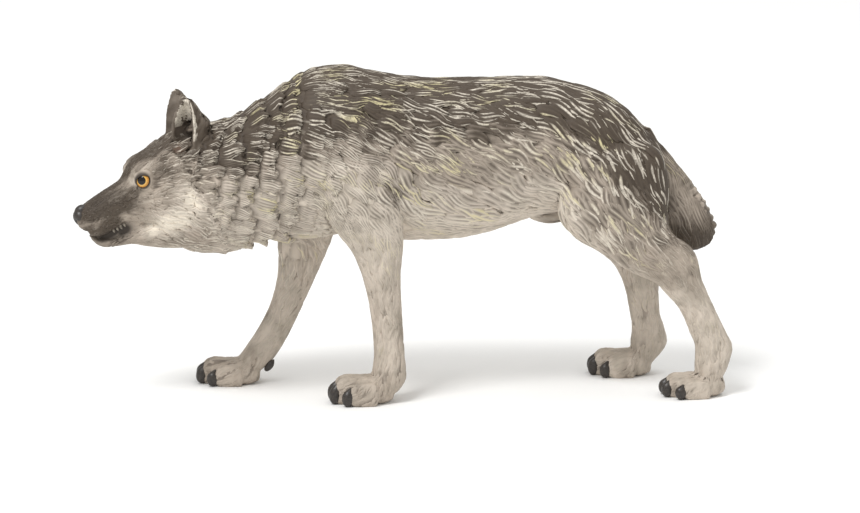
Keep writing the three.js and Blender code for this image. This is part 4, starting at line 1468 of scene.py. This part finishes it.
amber_eye = eye_paint()
for hand in SIDES:
    dome_points, dome_faces, reach = dome(hand, BALL)
    eye_mesh = make_mesh("eyeball_" + hand, dome_points, dome_faces)
    write_mask(eye_mesh, "reach", reach)
    finish_piece("eyeball_" + hand, eye_mesh, amber_eye, ["eye_" + hand])

# %% [markdown]
# ## Lids
# The lids are a ring that starts on the eyeball, rolls up over a crest and runs out into the
# skin. Its opening is an almond: a circle drawn out towards the inner corner, which on a wolf
# points down to the nose.

# %% Lids round the eyes
OPENING = 1.27  # radius of the gap between the lids
CORNER = -0.55  # radians from straight ahead to the inner corner, downwards
LID_WIDTH, LID_CREST, LID_DEPTH = 1.15, 0.26, 0.35  # the depth is the ring's thickness
ABOVE = 6  # how far outside the eye the rays start that feel for the skin


def lid_ring(hand, surface, around=72, across=9):
    """At the angle a the gap's radius is OPENING * (1 + 0.38 e^-((a - CORNER) / 0.36)^2), with a
    smaller corner behind and flattened by 0.13 sin^2 a. Across the lid the height follows the
    ball, rises over a crest of half a sine, and meets the skin it lies on."""
    middle, ahead, up, out = EYES[hand]
    a = np.arange(around) * 2 * np.pi / around
    apart = np.angle(np.exp(1j * (a - CORNER)))
    behind = np.angle(np.exp(1j * (a - np.pi + 0.1)))
    gap = OPENING * (1 + 0.38 * np.exp(-(apart / 0.36) ** 2) + 0.1 * np.exp(-(behind / 0.4) ** 2))
    gap *= 1 - 0.13 * np.sin(a) ** 2
    t = np.linspace(0, 1, across)[:, None]
    radius = gap + t * LID_WIDTH
    flat = middle + radius[..., None] * (np.cos(a)[:, None] * ahead + np.sin(a)[:, None] * up)
    on_ball = np.sqrt(np.maximum(BALL**2 - gap**2, 0.1)) - DEEPER
    starts, inwards = (flat + out * ABOVE).reshape(-1, 3), (-out).tolist()
    ground = np.array([surface.ray_cast(p, inwards, 2 * ABOVE)[3] or ABOVE for p in starts.tolist()])
    on_skin = ABOVE - ground.reshape(radius.shape)
    blend = smoothstep(t, 0.15, 1.0)
    rise = on_ball * (1 - blend) + (on_skin - 0.14 * t**4) * blend
    rise = rise + LID_CREST * np.sin(np.pi * np.minimum(t * 1.6, 1)) * (1 + 0.3 * np.sin(a))
    return flat + rise[..., None] * out


def lids(surface):
    """Both rings, each closed by a copy of itself pushed inwards so that it has a thickness."""
    parts = []
    for hand in SIDES:
        outer = lid_ring(hand, surface)
        out = EYES[hand][3]
        ring = np.concatenate([outer, outer[::-1] - out * LID_DEPTH])
        count, around = ring.shape[:2]
        row = np.arange(count)[:, None] * around
        k = np.arange(around)
        nxt, below = (k + 1) % around, (np.arange(count)[:, None] + 1) % count * around
        faces = np.stack([row + k, row + nxt, below + nxt, below + k], -1).reshape(-1, 4)
        points = ring.reshape(-1, 3)
        if signed_volume(points, [faces]) < 0:
            faces = faces[:, ::-1]
        parts.append((points, [faces]))
    return joined(parts)


def skin_surface(piece):
    """A search tree over the skin's triangles, in millimetres, and the triangles' corners."""
    corners = corners_of(piece.data).reshape(-1, 3)
    points = points_of(piece.data)
    return BVHTree.FromPolygons(points.tolist(), corners.tolist()), corners


surface, skin_corners = skin_surface(skin)
lid_points, lid_faces = lids(surface)
lid_mesh = make_mesh("lids", lid_points, lid_faces)


def mark_lids(mesh, points):
    """The skin's own markings, with black at the rim, wider on the upper lid, and in the inner
    corner."""
    best = np.full(len(points), 9.0)
    turn = np.zeros(len(points))
    for middle, ahead, up, out in EYES.values():
        away = points - middle
        x, y = away @ ahead, away @ up
        near = (np.hypot(x, y) < 3) & (away @ out > -1)
        best = np.where(near, np.hypot(x, y), best)
        turn = np.where(near, np.arctan2(y, x), turn)
    mark_mesh(mesh, points, 0 * best, 0 * best)
    upper = smoothstep(np.sin(turn), -0.2, 0.7)
    rim = 1 - smoothstep(best, OPENING + 0.1 + 0.2 * upper, OPENING + 0.4 + 0.35 * upper)
    corner = np.exp(-((turn - CORNER) / 0.4) ** 2) * (1 - smoothstep(best, 1.9, 2.6))
    write_mask(mesh, "black", np.maximum(rim * 0.95, corner * 0.9))


mark_lids(lid_mesh, lid_points)
finish_piece("lids", lid_mesh, painted_coat)

# %% [markdown]
# ## Nose leather
# The nose is a small dark pad with two comma-shaped nostrils and a groove down its middle. Two
# eggs are melted together as the skin was, and the nostrils are pushed in along the normals.

# %% Nose
# the tip of the nose and the part above and behind it, in the head's axes: forward, height and
# half sizes
NOSE_EGGS = [(14.3, 0.1, [1.4, 1.75, 1.75]), (13.5, 0.95, [1.6, 1.25, 1.5])]
NOSTRIL_HEIGHT, NOSTRIL_SIDE = -0.15, 0.95  # in the same axes


def nose_mesh():
    """The normals' dent is 0.55 pits + 0.4 slits + 0.16 groove, each a bell curve: the pits round
    the nostrils, the slits along a line that rises to the rear, the groove at y = 0."""
    mesh = remeshed(*joined([head_ball(f, h, 0, sizes) for f, h, sizes in NOSE_EGGS]), 0.1)
    points, edges = points_of(mesh), edges_of(mesh)
    for _ in range(8):
        points = spread(points, edges, 0.5)
    put_points(mesh, points)
    normals = normals_of(mesh)
    f, h, y = in_head(points)
    side = np.abs(y)
    pits = np.exp(-(((side - NOSTRIL_SIDE) / 0.42) ** 2) - ((h - NOSTRIL_HEIGHT) / 0.5) ** 2) * (f > 14.3)
    slit = np.exp(-((h - NOSTRIL_HEIGHT + 0.25 * (f - 14)) / 0.22) ** 2)
    slit = slit * smoothstep(side, 1.2, 1.5) * (f > 13.7)
    groove = np.exp(-((y / 0.16) ** 2)) * (h < 0.6) * (f > 14)
    dent = 0.55 * pits + 0.4 * slit + 0.16 * groove
    put_points(mesh, points - normals * dent[:, None])
    # the pit mask is where the nose's paint puts painted shade in the nostrils
    write_mask(mesh, "pit", np.clip(pits + slit, 0, 1))
    mesh.materials.clear()
    return mesh


def gloss_paint(name, dark, light, roughness):
    """A nearly black enamel, mottled between two tones, with painted shade, near black, in its pits."""
    finish = Finish(name, Roughness=roughness, Coat_Weight=0.1, Coat_Roughness=0.2)
    grain = finish.noise(3200, 3.0)
    colour = finish.mix(grain.between(0.3, 0.75), dark, light)
    # painted shade, near black, in the nostrils' pits and slits
    colour = finish.mix(finish.mask("pit"), colour, tint("0d0b0a"))
    return finish.surface(colour, roughness + grain * 0.15, grain, depth=0.00005, strength=0.5)


black_gloss = gloss_paint("black_gloss", tint("27221e"), tint("3b342e"), 0.34)
finish_piece("nose_leather", nose_mesh(), black_gloss, ["nose"])

# %% [markdown]
# ## Claws and teeth
# Every toe ends in a large blunt black claw that sits almost flush in it, and each forefoot has a
# dewclaw higher up at the back. A claw is an egg whose upper half narrows. The teeth are a short
# row of pegs hung from the upper jaw behind the lip.

# %% Claws
CLAW_HALF = (1.4, 1.1, 0.40)  # forward and across in millimetres, and up as a share of the toe
DEWCLAW_HALF = (0.78, 0.72, 1.5)  # forward, across and up in millimetres
CLAW_LEAN, DEWCLAW_LEAN = 14, 38  # degrees


def drop(middle, sizes, lean, yaw=0.0):
    """An egg whose width shrinks by half from its middle to its top, leaned and then turned."""
    points, faces = ball([1, 1, 1], around=20, rows=12)
    points[:, :2] *= 1 - 0.55 * smoothstep(points[:, 2:], 0.0, 1.0) * np.abs(points[:, 2:])
    points = points * sizes
    a = math.radians(lean)
    x, z = points[:, 0].copy(), points[:, 2].copy()
    points[:, 0] = x * math.cos(a) + z * math.sin(a)
    points[:, 2] = z * math.cos(a) - x * math.sin(a)
    return turned_up(points, yaw) + middle, faces


def all_claws():
    """Four claws for each paw, the outer ones set 0.5 mm further forward on their toes, and the
    dewclaws."""
    parts = []
    for name in PAWS:
        for place, tip, tall in toes_of(name):
            sizes = [CLAW_HALF[0], CLAW_HALF[1], tall * CLAW_HALF[2]]
            middle = [tip + 0.95 - 0.5 * (abs(place) > 2), place * TOE_SPREAD, tall * 0.4]
            points, faces = drop(middle, sizes, CLAW_LEAN, -place * 7)
            parts.append((put_paw(points, name), faces))
        if name in DEWCLAWS:
            x, z = DEWCLAWS[name]
            _, y, _ = paw_place(name)
            parts.append(drop([x, y * (1 - 2.0 / STANCE), z], DEWCLAW_HALF, DEWCLAW_LEAN))
    return joined(parts)


claw_mesh = make_mesh("claws", *all_claws())
# the claws get no painted shade
write_mask(claw_mesh, "pit", np.zeros(len(claw_mesh.vertices)))
finish_piece("claws", claw_mesh, black_gloss)

# %% Teeth
TEETH = [(7.4, 0.42), (8.2, 0.52), (9.0, 0.46), (9.8, 0.42)]  # forward, and length below the gum
GUM, TOOTH_SIDE = -4.7, 2.85  # the gum's height, and how far the teeth stand from the middle plane
TOOTH_HALF = (0.26, 0.2)  # half a tooth's size forward and across


def all_teeth():
    """Pegs on both sides of the upper jaw. Each narrows by half from the gum to its tip."""
    parts = []
    for side in SIDES.values():
        for f, long in TEETH:
            points, faces = ball([*TOOTH_HALF, long], around=14, rows=10)
            points[:, :2] *= 1 - 0.5 * smoothstep(-points[:, 2:] / long, 0.0, 1.0)
            placed = head_points(f - points[:, 0], GUM + points[:, 2], side * TOOTH_SIDE + points[:, 1])
            parts.append((placed, [g[:, ::-1] for g in faces]))
    return joined(parts)


def tooth_paint():
    """A dull grey cream with brown stains."""
    finish = Finish("tooth_paint", Roughness=0.35)
    stain = finish.noise(2400, 2.0)
    colour = finish.mix(stain.between(0.35, 0.7), tint("8a8174"), tint("635b50"))
    return finish.surface(colour, 0.3 + stain * 0.2)


finish_piece("teeth_row", make_mesh("teeth_row", *all_teeth()), tooth_paint())

# %% [markdown]
# ## Tufts of the coat
# On the real figure the coat is carved as broad tufts that lie on each other like shingles. Each
# starts flush with the body, swells towards its rear, carries grooves along its length, and ends
# in a fringe: a ragged step with a shadow under it round the neck, and fingers that die away on
# the flanks. Hair particles could not be cast, and strands would be far too many. So a tuft is
# one small closed mesh: a grid from root to tip and from side to side, laid on the smooth form of
# the body and raised by a formula. All the tufts of a region are computed together as one array.

# %% Places that tufts may start from


def scattered(points, corners, normals, count=420000, seed=21):
    """Random points over the skin, as likely on one square millimetre as on another: a triangle
    is drawn by its area, and a place in it by the square-root rule."""
    draw = np.random.default_rng(seed)
    a, b, c = (points[corners[:, i]] for i in range(3))
    area = np.linalg.norm(np.cross(b - a, c - a), axis=1)
    chosen = np.searchsorted(np.cumsum(area) / area.sum(), draw.random(count))
    chosen = np.minimum(chosen, len(corners) - 1)
    root, split = np.sqrt(draw.random(count))[:, None], draw.random(count)[:, None]
    weights = np.hstack([1 - root, root * (1 - split), root * split])
    places = np.einsum("nk,nkj->nj", weights, points[corners[chosen]])
    return places, unit(normals[corners[chosen]].mean(1)), chosen


EYE_CLEAR = 2.1  # no tuft starts this near to an eye, measured from a little ahead of it


def allowed_places(places, normals):
    """No tuft starts round the eyes, in the mouth, in the ears' cups or on their rims, on the
    sheath, or on the tail's rear edge."""
    allowed = markings(places)["black"] < 0.5
    for middle, ahead, up, out in EYES.values():
        away = places - middle
        near = np.hypot(away @ ahead - 0.5, away @ up) < EYE_CLEAR
        allowed &= ~(near & (away @ out > -2))
    into, across, up, behind = in_ear(places)
    on_ear = beside_ear(across, up, -0.4, 1.4) & (into > -2) & (into < 7.5)
    x, y, z = places.T
    sheath = (np.abs(x - SHEATH_X) < 6.5) & (np.abs(y) < 3.2) & (z < 37.5)
    tail_edge = (tail_place(x, z) > 53.0) & (z > 27) & (normals @ TAIL_REAR > 0.5)
    allowed &= ~sheath & ~tail_edge
    return allowed & ~(on_ear & (~behind | (np.abs(across) > 0.85) | (up > 0.86) | (up < 0.1)))


places, place_normals, place_faces = scattered(skin_points, skin_corners, skin_normals)
allowed = allowed_places(places, place_normals)
places, place_normals, place_faces = places[allowed], place_normals[allowed], place_faces[allowed]
print("places:", len(places))

# %% Rooted in rows round the neck, and scattered elsewhere
IN_ROWS = 0.45  # how much of a ruff there has to be for tufts to stand in its rows
LATER_GAP = 3.2  # between the smaller tufts that start in the middle of a band


def rooted_in_rows(places, fade):
    """One place for each lobe of each band: the nearest to the band's start at the lobe's
    middle. Also how many bands the place lies before its band's end, and the band."""
    band, place, start, end = bands(places)
    lobe = lobe_place(places, band)
    middle = np.round(lobe)
    off = np.abs((place - start) / (end - start) - 0.05) * 4 + np.abs(lobe - middle)
    order = np.flatnonzero((fade > IN_ROWS) & (off < 0.7))
    order = order[np.argsort(off[order])]
    keys = np.column_stack([band, middle])[order]
    _, first = np.unique(keys, axis=0, return_index=True)
    kept = order[first]
    return kept, (end - place)[kept], band[kept]


def thinned_out(places, gap):
    """Keeps one point in each cube of a grid. Cubes come in sizes a quarter apart, and each point
    takes the size nearest its own gap, so tufts stand closer where they are small."""
    size_class = np.round(np.log(gap) / math.log(1.25)).astype(int)
    cube = 1.25 ** size_class
    keys = np.column_stack([size_class, np.floor(places / cube[:, None]).astype(int)])
    _, kept = np.unique(keys, axis=0, return_index=True)
    return np.sort(kept)


def band_lengths(places, normals, left):
    """The way from each place to its band's end: the bands left, over the bands gained for each
    millimetre along the lie of the coat."""
    way, _ = combed(places, normals)
    gained = (torso_place(places + way * 0.5) - torso_place(places)) / 0.5
    return np.clip(left / np.maximum(gained, 0.12), 1.8, 6.0)


def lobe_halves(places, normals, band):
    """Half the width of the lobe at each place, in millimetres."""
    way, _ = combed(places, normals)
    aside = np.cross(normals, way) * 0.4
    turned = np.abs(lobe_place(places + aside, band) - lobe_place(places - aside, band)) / 0.8
    return 0.5 / np.maximum(turned, 0.2)


_, back, fade = ruff(places)
into, across, up, _ = in_ear(places)
on_ear = beside_ear(across, up, -0.1, 1.4) & (np.abs(into) < 8)
fade = np.where(on_ear, 0, fade)  # the ears have small tufts of their own
in_rows, left, band = rooted_in_rows(places, fade)
halves = lobe_halves(places[in_rows], place_normals[in_rows], band)
_, place, _, end = bands(places)
later = np.flatnonzero((fade > IN_ROWS) & (back > 0.3) & (back < 0.5))
later = later[thinned_out(places[later], np.full(len(later), LATER_GAP))]
in_rows, left = np.concatenate([in_rows, later]), np.concatenate([left, (end - place)[later]])
others = np.flatnonzero(fade <= IN_ROWS)
_, tufts = combed(places[others], place_normals[others])
loose = others[thinned_out(places[others], tufts[:, GAP])]
kept = np.concatenate([in_rows, loose])
roots, root_normals, root_faces = places[kept], place_normals[kept], place_faces[kept]
set_lengths = np.zeros(len(kept))
set_lengths[:len(in_rows)] = band_lengths(places[in_rows], place_normals[in_rows], left)
set_halves = np.zeros(len(kept))
set_halves[:len(halves)] = halves
print("tufts:", len(in_rows), "in rows and", len(loose), "elsewhere")

# %% Lines that creep over the body


def nearest_on_form(points):
    """The nearest point of the smooth body and its normal there, for each point."""
    found = [form.find_nearest(p) for p in points.tolist()]
    at = np.array([f[0] for f in found])
    corners = form_corners[[f[2] for f in found]]
    return at, unit(form_normals[corners].mean(1))


def creeping_lines(starts, normals, lengths, sway, phase, steps):
    """From each start, equal steps along the lie of the coat, turned left and right of it by
    sway * sin(phase + 4.5 s), and put back on the body after each step."""
    line, line_normals, ways = [starts], [normals], []
    for step in range(steps):
        here, normal = line[-1], line_normals[-1]
        way, _ = combed(here, normal)
        turn = (sway * np.sin(phase + 4.5 * step / steps))[:, None]
        way = way * np.cos(turn) + np.cross(normal, way) * np.sin(turn)
        ways.append(way)
        there, there_normal = nearest_on_form(here + way * (lengths / steps)[:, None])
        line.append(there)
        line_normals.append(there_normal)
    ways.append(ways[-1])
    return np.stack(line, 1), np.stack(line_normals, 1), np.stack(ways, 1)


# %% The grid of a tuft
ROUND_TIP = 0.22  # how far the tip's corners are drawn back, as a share of the length
SUNK, UNDERCUT = 0.12, 0.2  # millimetres that the edge lies in the skin, and the tip turns under


def tuft_points(line, line_normals, ways, half, height, lengths, step, ridges, fringe):
    """Row s runs from root (0) to tip (1) and column t from side to side (-1 to 1). A point is
    line(s) + across * half * taper(s) * t, drawn back towards the tip's corners by
    ROUND_TIP |t|^2 s^1.4, shifted by its column's share of the fringe, and put on the body. Its
    height mixes a ramp that ends in a step with a bump that dies away, by how blunt the tuft is,
    and adds the ridges. The last row is the foot of the step: the tip again, pulled under and
    sunk."""
    count, rows = line.shape[:2]
    columns = ridges.shape[1]
    s = np.linspace(0, 1, rows)[None, :, None]
    t = np.linspace(-1, 1, columns)[None, None, :]
    blunt = step[:, None, None]
    taper = (0.62 + 0.38 * smoothstep(s, 0, 0.35)) * (1 - (0.45 - 0.25 * blunt) * smoothstep(s, 0.5, 1.0))
    ragged = fringe[:, None] * s**2.5 - ROUND_TIP * np.abs(t) ** 2 * s**1.4
    sideways = np.cross(line_normals, ways)
    across = half[:, None, None] * taper * t
    along = lengths[:, None, None] * ragged
    base = line[:, :, None] + sideways[:, :, None] * across[..., None] + ways[:, :, None] * along[..., None]
    base = np.concatenate([base, base[:, -1:] - ways[:, -1:, None] * UNDERCUT], 1)
    at, normals = nearest_on_form(base.reshape(-1, 3))
    at, normals = at.reshape(base.shape), normals.reshape(base.shape)
    inner = (1 - smoothstep(np.abs(t), 0.74, 1.0)) * smoothstep(s, -0.01, 0.16)
    swell = blunt * s + (1 - blunt) * np.sin(np.pi * s**0.8) ** 0.8
    fading = 1 - (1 - blunt) * smoothstep(s, 0.65, 1.0)
    rise = height[:, None, None] * swell * (1 - np.abs(t) ** 2.2) + 0.04 * (2 * fading - 1)
    rise = rise + ridges[:, None, :] * smoothstep(s, 0.05, 0.3) * fading
    up = inner * rise - SUNK * (1 - inner)
    up = np.concatenate([up, np.full((count, 1, columns), -SUNK)], 1)
    flat = at.reshape(-1, 3)
    under = ruff(flat)[0] + step_of_cheek(flat)
    return at + normals * (up + under.reshape(up.shape))[..., None]


def tuft_faces(count, rows, columns):
    """The grid's quads, a strip of quads under it from side to side, and one face at each end."""
    tuft = np.arange(count)[:, None, None] * rows * columns
    row = np.arange(rows - 1)[None, :, None] * columns
    k = np.arange(columns - 1)[None, None]
    top = np.stack([tuft + row + k, tuft + row + k + 1, tuft + row + columns + k + 1,
                    tuft + row + columns + k], -1).reshape(-1, 4)
    start, last = (tuft + row)[..., 0], columns - 1
    strip = np.stack([start + last, start, start + columns, start + columns + last], -1).reshape(-1, 4)
    base = np.arange(count)[:, None] * rows * columns
    root = base + np.arange(columns)[None, ::-1]
    tip = base + (rows - 1) * columns + np.arange(columns)[None]
    return [top, strip, np.vstack([root, tip])]


# %% [markdown]
# Each tuft gets a small patch of the skin's own unwrap, at its root's place. The patch runs from root to
# tip one way and from side to side the other, so that baked paint keeps a tuft's light ridges and the
# painted shade at its root. Light paint lies on some of the ridges and along a blunt tip, and a dark wash
# that is partly painted shade lies between the ridges, with painted shade at the root, under the sides and
# on the step under the tip.

# %% Build the tufts of one region
PATCH = 0.003  # the side of a tuft's patch in the unwrap


def paint_tufts(mesh, line, tuft, rows, columns, draw):
    """Writes the masks: light on the odd columns, which are ridges, and on blunt tips, and a dark wash that
    is partly painted shade on the even ones, with painted shade at the root, along the sides and on the
    step under the tip. The other paints are the body's own at the tuft's middle line, and the dark one
    differs a little from tuft to tuft."""
    count = len(tuft)
    tall, light_paint, blunt = (tuft[:, i][:, None, None] for i in (HEIGHT, LIGHT, BLUNT))
    s = np.append(np.linspace(0, 1, rows - 1), 1.0)[None, :, None]
    t = np.abs(np.linspace(-1, 1, columns))[None, None]
    odd = np.arange(columns) % 2
    below = (np.arange(rows) == rows - 1)[None, :, None]
    caught = smoothstep(draw.random((count, columns)), 0.2, 0.8)[:, None]
    middle = 1 - (1 - blunt) * smoothstep(s, 0.7, 1.0)
    light = odd * caught * smoothstep(s, 0.1, 0.4) * middle
    light = (light + 0.5 * blunt * smoothstep(s, 0.72, 1.0)) * light_paint * (1 - below)
    shade = 0.12 + 0.88 * blunt
    # dark wash and painted shade in the furrows, painted shade at the root, the sides and under the tip
    wash_and_shade = np.minimum(0.15 + 1.5 * tall, 0.9) * (1 - odd) * smoothstep(s, 0.1, 0.4) * middle
    wash_and_shade = wash_and_shade + (1 - smoothstep(s, 0.0, 0.3)) * shade
    wash_and_shade = np.maximum(wash_and_shade, 0.7 * shade * smoothstep(t, 0.7, 1.0)) + below
    for label, values in markings(line.reshape(-1, 3)).items():
        tone = draw.uniform(-0.12, 0.12, count)[:, None] if label == "dark" else 0
        spread_out = np.repeat((values.reshape(count, rows) + tone)[..., None], columns, axis=2)
        write_mask(mesh, label, spread_out.ravel())
    shape = (count, rows, columns)
    write_mask(mesh, "light", np.broadcast_to(np.clip(light, 0, 1), shape).ravel())
    write_mask(mesh, "wash_and_shade", np.broadcast_to(np.clip(wash_and_shade, 0, 1), shape).ravel())


def unwrap_tufts(mesh, faces_of_roots, rows, columns):
    """Lays each tuft's patch round the unwrapped middle of the skin's triangle at its root."""
    centres = skin_uv.reshape(-1, 3, 2)[faces_of_roots].mean(1)[:, None, None]
    u = np.append(np.linspace(-0.5, 0.5, rows - 1), 0.5)[None, :, None]
    v = np.linspace(-0.5, 0.5, columns)[None, None]
    patch = centres + np.stack(np.broadcast_arrays(u, v), -1) * PATCH
    layer = mesh.uv_layers.new(name="OFBake")
    flat = np.clip(patch, 0.001, 0.999).reshape(-1, 2)[corners_of(mesh)]
    layer.data.foreach_set("uv", flat.astype(np.float32).ravel())


def grow(name, chosen, rows, columns, seed):
    """All the tufts of a region as one piece. A tuft's sizes are the chart's, or its lobe's and
    its band's where it stands in a row, times a random factor."""
    draw = np.random.default_rng(seed)
    count = len(chosen)
    starts, normals = roots[chosen], root_normals[chosen]
    _, tuft = combed(starts, normals)
    set_length = set_lengths[chosen] * draw.uniform(0.9, 1.02, count)
    lengths = np.where(set_length > 0, set_length, tuft[:, LENGTH] * draw.uniform(0.75, 1.2, count))
    half = tuft[:, WIDTH] * 0.5 * draw.uniform(0.75, 1.3, count)
    half = np.where(set_halves[chosen] > 0, set_halves[chosen] * draw.uniform(1.1, 1.45, count), half)
    height = tuft[:, HEIGHT] * draw.uniform(0.6, 1.3, count)
    sway, phase = draw.uniform(0.1, 0.52, count), draw.uniform(0, 6.28, count)
    sway = np.where(set_length > 0, 0.45 * sway, sway)
    line, line_normals, ways = creeping_lines(starts, normals, lengths, sway, phase, rows - 1)
    odd = np.arange(columns) % 2
    steep = 0.04 + tuft[:, [HEIGHT]] * (0.45 + 0.4 * (1 - tuft[:, [BLUNT]]))
    ridges = steep * (odd - 0.5) * draw.uniform(0.2, 1.0, (count, columns))
    fringe = np.where(odd, 0.12, -0.10) * draw.uniform(0, 1, (count, columns))
    fringe = fringe * np.where(set_length > 0, 0.5, 1.0)[:, None]
    points = tuft_points(line, line_normals, ways, half, height, lengths, tuft[:, BLUNT], ridges, fringe)
    points[..., 2] = np.maximum(points[..., 2], 0.03)
    rows = rows + 1
    faces = tuft_faces(count, rows, columns)
    flat_points = points.reshape(-1, 3)
    first = [f[f.max(1) < rows * columns] for f in faces]
    if signed_volume(flat_points[:rows * columns], first) < 0:
        faces = [f[:, ::-1] for f in faces]
    mesh = make_mesh(name, flat_points, faces)
    paint_tufts(mesh, np.concatenate([line, line[:, -1:]], 1), tuft, rows, columns, draw)
    unwrap_tufts(mesh, root_faces[chosen], rows, columns)
    finish_piece(name, mesh, painted_coat)


# name, rows from root to tip and columns from side to side
REGIONS = [("coat_head", 5, 5), ("coat_neck", 8, 15), ("coat_withers", 8, 13),
           ("coat_shoulder", 8, 9), ("coat_flank", 9, 7), ("coat_rump", 9, 7),
           ("coat_thigh", 9, 7), ("coat_tail", 9, 11), ("coat_forelegs", 5, 5),
           ("coat_hind_legs", 5, 5)]
HEAD, NECK_COAT, WITHERS, SHOULDER, SIDE, HIPS, HAUNCH, TAIL_COAT, FORELEGS, HIND_LEGS = range(10)


def region_of(points):
    """A region's number for each root, in the order of REGIONS. Later lines overrule earlier."""
    x, _, z = points.T
    f, _, _ = in_head(points)
    region = np.full(len(points), SIDE)
    region[x > 25] = HIPS
    region[x > 40] = HAUNCH
    region[x < 8] = SHOULDER
    region[x < -8] = WITHERS
    region[x < -22] = NECK_COAT
    tail = (tail_place(x, z) > 51.0) & (z > 28)
    region[tail] = TAIL_COAT
    region[((z < 31) & (x > -30) & ~tail) | (z < 26)] = FORELEGS
    region[(region == FORELEGS) & (x > 25)] = HIND_LEGS
    region[((f > -8.6) & (x < HEAD_REAR)) | ((z + 0.25 * x > 42.0) & (x < -37))] = HEAD
    return region


regions = region_of(roots)
regions[(set_lengths > 0) & (regions == HEAD)] = NECK_COAT
for number, (name, rows, columns) in enumerate(REGIONS):
    grow(name, np.flatnonzero(regions == number), rows, columns, seed=40 + number)
